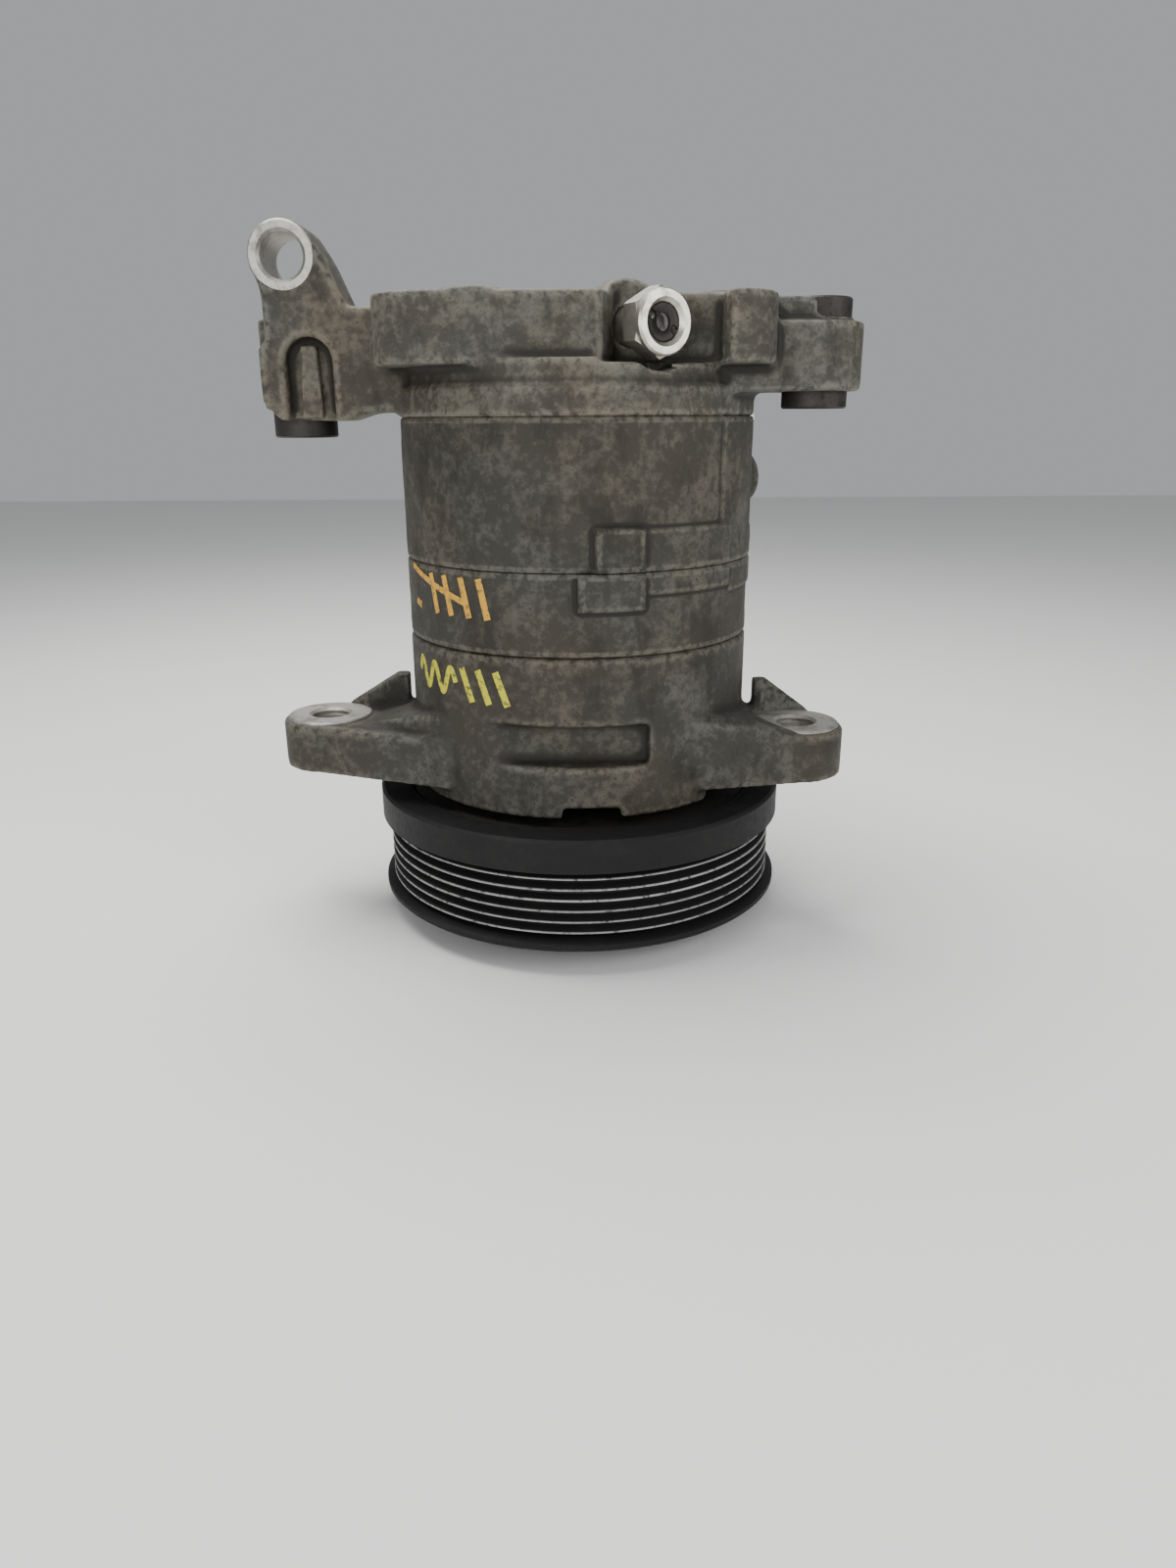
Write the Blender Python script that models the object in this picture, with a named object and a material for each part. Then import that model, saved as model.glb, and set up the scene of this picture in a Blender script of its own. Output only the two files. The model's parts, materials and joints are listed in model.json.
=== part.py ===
"""Automotive air-conditioning compressor: a scroll compressor with an electromagnetic clutch.

The shaft is vertical. The origin is on the shaft axis at the front face of the clutch hub,
+Z runs from the clutch to the rear head, +X to the side of the plain rear arm.
Every named size is in metres, through MM.
"""

import math

import bmesh
import bpy
from mathutils import Matrix, Vector

MM = 0.001

# Clearances ---------------------------------------------------------------------------------
GAP = 0.3 * MM                  # between pieces that touch in the real machine
OVERRUN = 5.0 * MM              # how far a cutter goes past the face it starts from
FLANK_GAP = 0.4 * MM            # between the flanks of the two scroll wraps

# Roundness: how many flats stand for a full circle ------------------------------------------
BODY_STEPS = 36
RING_STEPS = 24
HOLE_STEPS = 12
BOLT_STEPS = 8
BALL_STEPS = 6
SPRING_STEPS = 14
BUSH_STEPS = 32
WRAP_STEP_ANGLE = 0.28          # radians of the involute for one flat of a scroll wrap
ROD_TWIST = 370.0               # radians of turn per metre of radius: nested rods share no edge

# Clutch and pulley --------------------------------------------------------------------------
HUB_FLANGE_RADIUS = 34.0 * MM
HUB_FLANGE_THICKNESS = 2.2 * MM
HUB_BOSS_RADIUS = 13.0 * MM
HUB_BOSS_LENGTH = 10.6 * MM
HUB_BOLT_HEAD_RADIUS = 8.5 * MM
HUB_BOLT_HEAD_HEIGHT = 3.4 * MM
HUB_BOLT_RADIUS = 3.6 * MM
HUB_BOLT_LENGTH = 20.0 * MM
LEAF_COUNT = 3
LEAF_THICKNESS = 0.8 * MM
LEAF_WIDTH = 13.0 * MM
LEAF_SWEEP = math.radians(52.0)
RIVET_RADIUS = 2.4 * MM
RIVET_HEAD_RADIUS = 4.4 * MM
RIVET_HEAD_HEIGHT = 1.1 * MM
ARMATURE_RADIUS = 54.0 * MM
ARMATURE_BORE_RADIUS = 37.0 * MM
ARMATURE_THICKNESS = 3.4 * MM
ARMATURE_TRAVEL = 0.5 * MM
RIDGE_RADIUS = 66.2 * MM
PULLEY_FLANGE_RADIUS = 69.0 * MM
GROOVE_COUNT = 7
GROOVE_PITCH = 3.56 * MM
GROOVE_DEPTH = 2.7 * MM
LOWER_FLANGE_WIDTH = 2.2 * MM
UPPER_FLANGE_WIDTH = 9.6 * MM
RIM_WALL = 4.2 * MM
FRICTION_DISC_THICKNESS = 5.4 * MM
PULLEY_HUB_WALL = 3.6 * MM
BEARING_SECTION = 10.7 * MM
BEARING_WIDTH = 20.0 * MM
RACE_WALL = 2.6 * MM
COIL_WALL = 2.0 * MM

# Shaft and its bearings ---------------------------------------------------------------------
SHAFT_RADIUS = 8.0 * MM
NOSE_RADIUS = 20.0 * MM
NOSE_BORE_RADIUS = 15.0 * MM
SNAP_RING_THICKNESS = 1.2 * MM
SNAP_RING_REACH = 2.0 * MM
SEAL_LENGTH = 9.0 * MM
FRONT_BEARING_WALL = 2.8 * MM
FRONT_BEARING_LENGTH = 14.0 * MM
JOURNAL_RADIUS = 20.0 * MM
MAIN_BEARING_SECTION = 13.7 * MM
MAIN_BEARING_WIDTH = 15.0 * MM
BALL_COUNT = 7

# Scroll set ---------------------------------------------------------------------------------
ORBIT_RADIUS = 4.0 * MM
WRAP_WALL = 3.6 * MM
WRAP_HEIGHT = 26.2 * MM
WRAP_START = 2.4                # radians along the involute
ORBIT_PLATE_THICKNESS = 8.2 * MM
END_PLATE_THICKNESS = 11.6 * MM
THRUST_PLATE_THICKNESS = 4.0 * MM
THRUST_LEDGE_THICKNESS = 8.6 * MM
CRANK_PIN_RADIUS = 5.5 * MM
BUSH_WALL = 4.2 * MM
DRIVE_BEARING_WALL = 2.2 * MM
ORBIT_BOSS_WALL = 3.4 * MM
COUNTERWEIGHT_THICKNESS = 6.0 * MM
COUNTERWEIGHT_RADIUS = 36.0 * MM
ANTI_ROTATION_SETS = 3
ANTI_ROTATION_PITCH_RADIUS = 31.0 * MM
ANTI_ROTATION_PIN_RADIUS = 2.2 * MM
ANTI_ROTATION_RING_WALL = 1.4 * MM
ANTI_ROTATION_RING_HEIGHT = 4.6 * MM
DISCHARGE_HOLE_RADIUS = 4.2 * MM

# Castings -----------------------------------------------------------------------------------
BODY_RADIUS = 55.8 * MM
BODY_WALL = 11.0 * MM
SEAM_RING_WIDTH = 1.2 * MM
SEAM_RING_HEIGHT = 1.3 * MM
FRONT_HEAD_BOTTOM = 46.0 * MM
FRONT_HEAD_LENGTH = 50.0 * MM
CENTRE_HOUSING_LENGTH = 24.0 * MM
REAR_HEAD_SKIRT = 13.5 * MM
REAR_HEAD_SKIRT_STEP = 6.0 * MM
REAR_NECK_RADIUS = 53.0 * MM
REAR_BAR_HEIGHT = 19.0 * MM
REAR_BAR_HALF_WIDTH = 57.0 * MM
REAR_BAR_FRONT = -49.0 * MM
REAR_BAR_BACK = 52.0 * MM
REAR_BAR_CORNER = 14.0 * MM
VALVE_RECESS_START = 4.0 * MM
VALVE_RECESS_SLOPE = 8.0 * MM
VALVE_RECESS_FLOOR = -36.0 * MM
DISCHARGE_CHAMBER_RADIUS = 19.0 * MM
DISCHARGE_CHAMBER_DEPTH = 24.0 * MM
THROUGH_BOLT_ANGLES = (-91.0, -34.0, 58.0, 101.0, 148.0, 212.0)     # degrees from the front
THROUGH_BOLT_RADIUS = 3.0 * MM
THROUGH_BOLT_GRIP = 15.0 * MM
THROUGH_BOLT_HEAD_RADIUS = 5.4 * MM
THROUGH_BOLT_HEAD_HEIGHT = 5.0 * MM
THROUGH_BOLT_SINK = 0.4 * MM

# Mounting ears, arms and bushes -------------------------------------------------------------
LEFT_BOLT_AXIS = (-84.5 * MM, -7.5 * MM)
RIGHT_BOLT_AXIS = (71.2 * MM, -20.7 * MM)
EAR_RADIUS = 15.5 * MM
EAR_THICKNESS = 16.0 * MM
EAR_TOP = 67.0 * MM
EAR_BORE_RADIUS = 6.2 * MM
EAR_RING_HEIGHT = 0.8 * MM
EAR_RING_RADIUS = 14.0 * MM
EAR_ROOT_WIDTH = 42.0 * MM
EAR_RIB_HEIGHT = 12.0 * MM
EAR_RIB_THICKNESS = 7.0 * MM
EAR_RIB_REACH = 22.0 * MM
POCKET_CENTRE = -4.3 * MM
POCKET_WIDTH = 51.5 * MM
POCKET_HEIGHT = 12.0 * MM
POCKET_DEPTH = 8.0 * MM
POCKET_TOP = 75.2 * MM
BUSH_RADIUS = 9.6 * MM
BUSH_BORE_RADIUS = 6.3 * MM
LEFT_BUSH_DROP = 38.5 * MM          # lower face, below the top of the rear head
LEFT_BUSH_LENGTH = 30.0 * MM
RIGHT_BUSH_DROP = 30.9 * MM
RIGHT_BUSH_LENGTH = 30.4 * MM
LEFT_ARM_HEIGHT = 33.5 * MM
LEFT_ARM_CORNER = 5.0 * MM
LEFT_ARM_CLEARANCE = 6.6 * MM       # from the body to where the arm drops below its top
LEFT_ARM_STEP = 2.6 * MM
LEFT_ARM_FRONT = -22.0 * MM
LEFT_ARM_BACK = 6.0 * MM
LEFT_ARM_OUTER = -93.4 * MM
LEFT_ARM_ROOT = -44.0 * MM
RIGHT_ARM_DROP = 25.9 * MM
RIGHT_ARM_HEIGHT = 18.6 * MM
RIGHT_ARM_RADIUS = 13.2 * MM
RIGHT_ARM_ROOT_DEPTH = 36.0 * MM
EYE_RISE = 11.5 * MM                # eye centre, above the top of the rear head
EYE_X = -84.4 * MM
EYE_RADIUS = 10.0 * MM
EYE_BORE_RADIUS = 6.3 * MM
EYE_THICKNESS = 20.0 * MM
EYE_WEB_INNER = -66.0 * MM
GROOVE_X = -79.0 * MM
GROOVE_RADIUS = 6.9 * MM
GROOVE_DROP = 10.0 * MM
GROOVE_CUT_DEPTH = 3.6 * MM

# Ports and fittings -------------------------------------------------------------------------
PORT_FACE = 65.0 * MM
PORT_BLOCK_HALF_WIDTH = 24.0 * MM
PORT_SPACING = 13.0 * MM
PORT_HEIGHT_IN_BAR = 9.6 * MM
SUCTION_RADIUS = 6.5 * MM
DISCHARGE_RADIUS = 5.6 * MM
MANIFOLD_SCREW_RADIUS = 2.6 * MM
MANIFOLD_SCREW_DEPTH = 9.0 * MM
SUCTION_DROP_Y = 36.0 * MM
SUCTION_DROP_RADIUS = 4.6 * MM
RELIEF_TURN = math.radians(31.5)
RELIEF_SEAT = (19.9 * MM, -42.5 * MM)
RELIEF_HEIGHT_IN_BAR = 10.2 * MM
RELIEF_BOSS_RADIUS = 10.6 * MM
RELIEF_BOSS_LENGTH = 16.0 * MM
RELIEF_GAS_LENGTH = 30.0 * MM
RELIEF_HEX_RADIUS = 9.4 * MM
RELIEF_HEX_HEIGHT = 6.4 * MM
RELIEF_RIM_RADIUS = 8.6 * MM
RELIEF_RIM_HEIGHT = 2.4 * MM
RELIEF_THREAD_RADIUS = 5.4 * MM
RELIEF_THREAD_LENGTH = 12.0 * MM
RELIEF_BORE_RADIUS = 5.2 * MM
RELIEF_SEAT_RADIUS = 3.0 * MM
RELIEF_TRAVEL = 1.2 * MM         # poppet off its seat
POPPET_RADIUS = 2.3 * MM
POPPET_HEAD_RADIUS = 4.2 * MM
POPPET_HEAD_HEIGHT = 2.0 * MM
POPPET_LENGTH = 10.0 * MM
RELIEF_CAGE_THICKNESS = 1.0 * MM
RELIEF_SPRING_WIRE = 0.18 * MM    # radius
SERVICE_ANGLE = math.radians(28.0)
SERVICE_PAD_RISE = 3.2 * MM
SERVICE_PAD_HALF_WIDTH = 9.5 * MM
SERVICE_PAD_BELOW = 31.0 * MM
SERVICE_PAD_ABOVE = 8.0 * MM
SERVICE_BOSS_RADIUS = 8.8 * MM
SERVICE_BOSS_RISE = 11.7 * MM
SERVICE_BOSS_DROP = 20.6 * MM
SERVICE_PLUG_RADIUS = 6.3 * MM
SERVICE_PLUG_HEIGHT = 6.0 * MM
SERVICE_PLUG_THREAD = 3.6 * MM
SERVICE_PLUG_DEPTH = 7.0 * MM

# Discharge reed -----------------------------------------------------------------------------
REED_LENGTH = 17.0 * MM
REED_WIDTH = 10.0 * MM
REED_THICKNESS = 0.4 * MM
REED_STOP_THICKNESS = 1.2 * MM
REED_LIFT = math.radians(7.0)
REED_SCREW_RADIUS = 1.9 * MM
REED_SCREW_HEAD_RADIUS = 3.2 * MM
REED_SCREW_HEAD_HEIGHT = 2.2 * MM
REED_SCREW_DEPTH = 6.0 * MM
REED_STOP_HOLE_REACH = 15.0 * MM

# Levels along the shaft, worked out from the sizes above ------------------------------------
LEAF_BOTTOM = HUB_FLANGE_THICKNESS + GAP
ARMATURE_BOTTOM = LEAF_BOTTOM + LEAF_THICKNESS + GAP
PULLEY_BOTTOM = ARMATURE_BOTTOM + ARMATURE_THICKNESS + ARMATURE_TRAVEL + GAP
PULLEY_TOP = PULLEY_BOTTOM + LOWER_FLANGE_WIDTH + GROOVE_COUNT * GROOVE_PITCH + UPPER_FLANGE_WIDTH
NOSE_BOTTOM = HUB_BOSS_LENGTH + 2 * GAP
BEARING_BOTTOM = NOSE_BOTTOM + 2 * SNAP_RING_THICKNESS
SEAL_BOTTOM = NOSE_BOTTOM + 4 * SNAP_RING_THICKNESS
SHAFT_STEP = FRONT_HEAD_BOTTOM + 22.0 * MM
FRONT_HEAD_TOP = FRONT_HEAD_BOTTOM + FRONT_HEAD_LENGTH
CENTRE_BOTTOM = FRONT_HEAD_TOP + GAP
CENTRE_TOP = CENTRE_BOTTOM + CENTRE_HOUSING_LENGTH
SHELL_BOTTOM = CENTRE_TOP + GAP
MAIN_BEARING_TOP = FRONT_HEAD_TOP - 2.0 * MM
MAIN_BEARING_BOTTOM = MAIN_BEARING_TOP - MAIN_BEARING_WIDTH
JOURNAL_TOP = FRONT_HEAD_TOP + GAP
WEIGHT_BOTTOM = JOURNAL_TOP + GAP
WEIGHT_TOP = WEIGHT_BOTTOM + COUNTERWEIGHT_THICKNESS
LEDGE_BOTTOM = WEIGHT_TOP + 2 * GAP
LEDGE_TOP = LEDGE_BOTTOM + THRUST_LEDGE_THICKNESS
THRUST_BOTTOM = LEDGE_TOP + GAP
THRUST_TOP = THRUST_BOTTOM + THRUST_PLATE_THICKNESS
ORBIT_PLATE_BOTTOM = THRUST_TOP + GAP
ORBIT_PLATE_TOP = ORBIT_PLATE_BOTTOM + ORBIT_PLATE_THICKNESS
FIXED_WRAP_BOTTOM = ORBIT_PLATE_TOP + GAP
END_PLATE_BOTTOM = FIXED_WRAP_BOTTOM + WRAP_HEIGHT
SHELL_TOP = END_PLATE_BOTTOM + END_PLATE_THICKNESS
REAR_BOTTOM = SHELL_TOP + GAP
REAR_BAR_BOTTOM = REAR_BOTTOM + REAR_HEAD_SKIRT
REAR_TOP = REAR_BAR_BOTTOM + REAR_BAR_HEIGHT
LEFT_ARM_BOTTOM = REAR_TOP - LEFT_ARM_HEIGHT
RIGHT_ARM_BOTTOM = REAR_TOP - RIGHT_ARM_DROP
LEFT_BUSH_BOTTOM = REAR_TOP - LEFT_BUSH_DROP
RIGHT_BUSH_BOTTOM = REAR_TOP - RIGHT_BUSH_DROP
EYE_HEIGHT = REAR_TOP + EYE_RISE
GROOVE_TOP = REAR_TOP - GROOVE_DROP

# Radii that follow from others --------------------------------------------------------------
BODY_BORE = BODY_RADIUS - BODY_WALL
BOLT_CIRCLE = BODY_RADIUS - BODY_WALL / 2
SERVICE_PAD_FACE = BODY_RADIUS + SERVICE_PAD_RISE
SERVICE_BOSS_FACE = BODY_RADIUS + SERVICE_BOSS_RISE
SEAM_REBATE = BODY_BORE + SEAM_RING_WIDTH + 2 * GAP
SEAM_REBATE_HEIGHT = SEAM_RING_HEIGHT + GAP
PULLEY_BORE = NOSE_RADIUS + GAP + BEARING_SECTION + GAP
COIL_INNER = PULLEY_BORE + PULLEY_HUB_WALL + 4 * GAP
COIL_OUTER = RIDGE_RADIUS - GROOVE_DEPTH - RIM_WALL - 4 * GAP
COIL_TOP = PULLEY_TOP - 1.0 * MM
COIL_BOTTOM = PULLEY_BOTTOM + FRICTION_DISC_THICKNESS + 4 * GAP
MAIN_BEARING_OUTER = JOURNAL_RADIUS + GAP + MAIN_BEARING_SECTION
BUSH_OUTER = CRANK_PIN_RADIUS + GAP + BUSH_WALL
DRIVE_BEARING_OUTER = BUSH_OUTER + GAP + DRIVE_BEARING_WALL
ORBIT_BOSS_BORE = DRIVE_BEARING_OUTER + GAP
ORBIT_BOSS_RADIUS = ORBIT_BOSS_BORE + ORBIT_BOSS_WALL
THRUST_BORE = ORBIT_BOSS_RADIUS + ORBIT_RADIUS + 3 * GAP
ORBIT_PLATE_RADIUS = BODY_BORE - ORBIT_RADIUS - 2 * GAP
RING_BORE = ANTI_ROTATION_PIN_RADIUS + ORBIT_RADIUS + 2 * GAP
INVOLUTE_RADIUS = (ORBIT_RADIUS + WRAP_WALL + FLANK_GAP) / math.pi
WRAP_HALF_ANGLE = WRAP_WALL / (2 * INVOLUTE_RADIUS)
WRAP_END = (ORBIT_PLATE_RADIUS - 2 * GAP) / INVOLUTE_RADIUS - WRAP_HALF_ANGLE - 0.1
WRAP_STEPS = math.ceil((WRAP_END - WRAP_START) / WRAP_STEP_ANGLE)


# ---- Mesh helpers --------------------------------------------------------------------------

def clear_scene():
    """Remove every object of the open file."""
    for old in list(bpy.data.objects):
        bpy.data.objects.remove(old, do_unlink=True)


def material(name, colour, roughness, metallic):
    """A Principled material with one colour."""
    made = bpy.data.materials.get(name) or bpy.data.materials.new(name)
    made.use_nodes = True
    shader = made.node_tree.nodes["Principled BSDF"]
    shader.inputs["Base Color"].default_value = (*colour, 1.0)
    shader.inputs["Roughness"].default_value = roughness
    shader.inputs["Metallic"].default_value = metallic
    return made


def cast_aluminium(name):
    return material(name + "_cast", (0.20, 0.18, 0.15), 0.72, 0.55)


def steel(name):
    return material(name + "_steel", (0.42, 0.41, 0.40), 0.38, 1.0)


def dark_steel(name):
    return material(name + "_dark_steel", (0.06, 0.06, 0.07), 0.5, 0.8)


def zinc(name):
    return material(name + "_zinc", (0.66, 0.66, 0.64), 0.34, 1.0)


def black_paint(name):
    return material(name + "_paint", (0.02, 0.02, 0.022), 0.45, 0.0)


def sealing(name):
    return material(name + "_seal", (0.015, 0.015, 0.016), 0.7, 0.0)


def winding(name):
    return material(name + "_resin", (0.10, 0.05, 0.02), 0.5, 0.0)


def finish_object(name, shape, finish):
    """Turn a bmesh into an object with outward faces, and shade its round parts smooth."""
    bmesh.ops.recalc_face_normals(shape, faces=shape.faces)
    mesh = bpy.data.meshes.new(name)
    shape.to_mesh(mesh)
    shape.free()
    mesh.shade_smooth()
    mesh.set_sharp_from_angle(angle=math.radians(32.0))
    made = bpy.data.objects.new(name, mesh)
    bpy.context.collection.objects.link(made)
    if finish is not None:
        mesh.materials.append(finish(name))
    return made


def turned(name, profile, finish=None, segments=RING_STEPS, centre=(0.0, 0.0), phase=0.0):
    """Turn a closed (radius, height) profile about the Z axis through centre."""
    shape = bmesh.new()
    columns = []
    for radius, height in profile:
        if radius < 1e-9:
            vertex = shape.verts.new((centre[0], centre[1], height))
            columns.append([vertex] * segments)
            continue
        column = []
        for step in range(segments):
            angle = phase + 2 * math.pi * step / segments
            place = (centre[0] + radius * math.cos(angle), centre[1] + radius * math.sin(angle))
            column.append(shape.verts.new((*place, height)))
        columns.append(column)
    for here, there in zip(columns, columns[1:] + columns[:1]):
        for step in range(segments):
            after = (step + 1) % segments
            corners = [here[step], here[after], there[after], there[step]]
            corners = [v for i, v in enumerate(corners) if v not in corners[:i]]
            if len(corners) > 2:
                shape.faces.new(corners)
    return finish_object(name, shape, finish)


def ring(name, inner, outer, bottom, top, finish=None, segments=RING_STEPS, centre=(0.0, 0.0)):
    profile = [(inner, bottom), (outer, bottom), (outer, top), (inner, top)]
    return turned(name, profile, finish, segments, centre)


def rod(name, radius, bottom, top, finish=None, segments=HOLE_STEPS, centre=(0.0, 0.0),
        phase=None):
    if phase is None:
        phase = ROD_TWIST * radius
    return prism(name, circle(centre, radius, segments, phase), bottom, top, finish)


def prism(name, outline, bottom, top, finish=None):
    """Extrude a flat outline from one height to another."""
    shape = bmesh.new()
    lower = [shape.verts.new((x, y, bottom)) for x, y in outline]
    upper = [shape.verts.new((x, y, top)) for x, y in outline]
    shape.faces.new(lower)
    shape.faces.new(upper)
    for i in range(len(outline)):
        j = (i + 1) % len(outline)
        shape.faces.new((lower[i], lower[j], upper[j], upper[i]))
    return finish_object(name, shape, finish)


def standing_prism(name, outline, front, back, finish=None):
    """Extrude an outline drawn in X and Z from one Y to another."""
    made = prism(name, outline, front, back, finish)
    swap = Matrix(((1, 0, 0, 0), (0, 0, 1, 0), (0, 1, 0, 0), (0, 0, 0, 1)))
    made.data.transform(swap)
    made.data.flip_normals()
    return made


def box(name, low, high):
    outline = [(low[0], low[1]), (high[0], low[1]), (high[0], high[1]), (low[0], high[1])]
    return prism(name, outline, low[2], high[2])


def radial_rod(name, radius, inner, outer, angle, height, segments=HOLE_STEPS):
    """A plain rod lying along a radius; angle is measured from +X."""
    made = rod(name, radius, inner, outer, None, segments)
    made.data.transform(radial_frame(angle, height))
    return made


def radial_frame(angle, height):
    """Matrix that lays +Z along the radius at angle, and keeps +X level."""
    out = Vector((math.cos(angle), math.sin(angle), 0.0))
    level = Vector((-math.sin(angle), math.cos(angle), 0.0))
    up = out.cross(level)
    turn = Matrix((level, up, out)).transposed().to_4x4()
    return Matrix.Translation((0.0, 0.0, height)) @ turn


def change(target, tool, operation):
    """Join, cut or intersect target with tool, which is hidden."""
    tool.display_type = "WIRE"
    tool.hide_render = True
    step = target.modifiers.new(tool.name, "BOOLEAN")
    step.operation = operation
    step.solver = "EXACT"
    step.object = tool


def join(target, *tools):
    for tool in tools:
        change(target, tool, "UNION")


def cut(target, *tools):
    for tool in tools:
        change(target, tool, "DIFFERENCE")


def arc(centre, radius, start, end, steps):
    """Points of an arc, both ends included."""
    points = []
    for step in range(steps + 1):
        angle = start + (end - start) * step / steps
        points.append((centre[0] + radius * math.cos(angle), centre[1] + radius * math.sin(angle)))
    return points


def circle(centre, radius, segments, phase):
    return arc(centre, radius, phase, phase + 2 * math.pi, segments)[:-1]


def rounded_rectangle(low, high, radius, steps=5):
    quarter = math.pi / 2
    corners = [(high[0] - radius, high[1] - radius), (low[0] + radius, high[1] - radius),
               (low[0] + radius, low[1] + radius), (high[0] - radius, low[1] + radius)]
    points = []
    for turn, corner in enumerate(corners):
        points += arc(corner, radius, turn * quarter, (turn + 1) * quarter, steps)
    return points


def empty(name, location=(0.0, 0.0, 0.0), parent=None):
    made = bpy.data.objects.new(name, None)
    made.empty_display_size = 10 * MM
    made.location = location
    made.parent = parent
    bpy.context.collection.objects.link(made)
    return made


def carry(parent, *children):
    for child in children:
        child.parent = parent


# ---- Bolt pattern shared by the castings ---------------------------------------------------

def bolt_places():
    """Centres of the long bolts, clear of the valve at the front and the ports at the back."""
    places = []
    for turn in THROUGH_BOLT_ANGLES:
        angle = math.radians(turn) - math.pi / 2
        places.append((BOLT_CIRCLE * math.cos(angle), BOLT_CIRCLE * math.sin(angle)))
    return places


def drill_bolt_holes(casting, bottom, top):
    for number, place in enumerate(bolt_places()):
        name = "{}_bolt_hole_{}".format(casting.name, number + 1)
        cut(casting, rod(name, THROUGH_BOLT_RADIUS + GAP, bottom, top, None, BOLT_STEPS, place))


# ---- Front head ----------------------------------------------------------------------------

def ear_outline(axis, side):
    """An ear around the bolt axis, joined to the body across EAR_ROOT_WIDTH."""
    start = -math.pi / 2 if side > 0 else math.pi / 2
    points = arc(axis, EAR_RADIUS, start, start + math.pi, 10)
    inner = side * (BODY_RADIUS - 14.0 * MM)
    points.append((inner, axis[1] + side * EAR_ROOT_WIDTH / 2))
    points.append((inner, axis[1] - side * EAR_ROOT_WIDTH / 2))
    return points


def ear_rib(name, axis, side):
    """Triangular gusset standing on the back half of an ear."""
    start = axis[0] - side * EAR_RADIUS * 0.45
    crest = side * (BODY_RADIUS + 3.0 * MM)
    sunk = EAR_TOP - EAR_THICKNESS / 2
    outline = [(start + side * EAR_RIB_REACH * 0.45, sunk), (crest, sunk),
               (crest, EAR_TOP + EAR_RIB_HEIGHT), (crest + side * 4.0 * MM, EAR_TOP + EAR_RIB_HEIGHT),
               (start + side * EAR_RIB_REACH * 0.45, EAR_TOP - 1.0 * MM)]
    front = axis[1] + EAR_RADIUS - EAR_RIB_THICKNESS
    return standing_prism(name, outline, front, front + EAR_RIB_THICKNESS)


def build_front_head():
    seat = MAIN_BEARING_OUTER + GAP
    bore = SHAFT_RADIUS + GAP + FRONT_BEARING_WALL + GAP
    journal_room = JOURNAL_RADIUS + OVERRUN
    seal_top = SEAL_BOTTOM + SEAL_LENGTH + GAP
    groove = NOSE_RADIUS - SNAP_RING_REACH / 2
    groove_bottom = BEARING_BOTTOM - SNAP_RING_THICKNESS - 2 * GAP
    head = turned("front_head", [
        (NOSE_BORE_RADIUS, NOSE_BOTTOM), (NOSE_RADIUS, NOSE_BOTTOM), (NOSE_RADIUS, groove_bottom),
        (groove, groove_bottom), (groove, BEARING_BOTTOM), (NOSE_RADIUS, BEARING_BOTTOM),
        (NOSE_RADIUS, FRONT_HEAD_BOTTOM), (BODY_RADIUS, FRONT_HEAD_BOTTOM),
        (BODY_RADIUS, FRONT_HEAD_TOP), (seat, FRONT_HEAD_TOP),
        (seat, MAIN_BEARING_BOTTOM - GAP), (journal_room, MAIN_BEARING_BOTTOM - GAP),
        (journal_room, SHAFT_STEP - 1.0 * MM), (bore, SHAFT_STEP - 1.0 * MM), (bore, seal_top),
        (NOSE_BORE_RADIUS, seal_top)], cast_aluminium, BODY_STEPS)
    for axis, side, label in ((LEFT_BOLT_AXIS, -1, "left"), (RIGHT_BOLT_AXIS, 1, "right")):
        bottom = EAR_TOP - EAR_THICKNESS
        ear = prism("front_ear_" + label, ear_outline(axis, side), bottom, EAR_TOP)
        land = rod("front_ear_land_" + label, EAR_RING_RADIUS, EAR_TOP - 1.0 * MM,
                   EAR_TOP + EAR_RING_HEIGHT, None, RING_STEPS, axis)
        join(head, ear, land, ear_rib("front_ear_rib_" + label, axis, side))
        cut(head, rod("front_ear_bore_" + label, EAR_BORE_RADIUS, bottom - OVERRUN,
                      EAR_TOP + OVERRUN, None, RING_STEPS, axis))
    pocket_low = (POCKET_CENTRE - POCKET_WIDTH / 2, -BODY_RADIUS - OVERRUN, POCKET_TOP - POCKET_HEIGHT)
    pocket_high = (POCKET_CENTRE + POCKET_WIDTH / 2, -BODY_RADIUS + POCKET_DEPTH, POCKET_TOP)
    cut(head, box("front_pocket", pocket_low, pocket_high))
    drill_bolt_holes(head, FRONT_HEAD_TOP - THROUGH_BOLT_GRIP - 2.0 * MM, FRONT_HEAD_TOP + OVERRUN)


# ---- Centre housing, sealing rings and thrust plate ----------------------------------------

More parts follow.
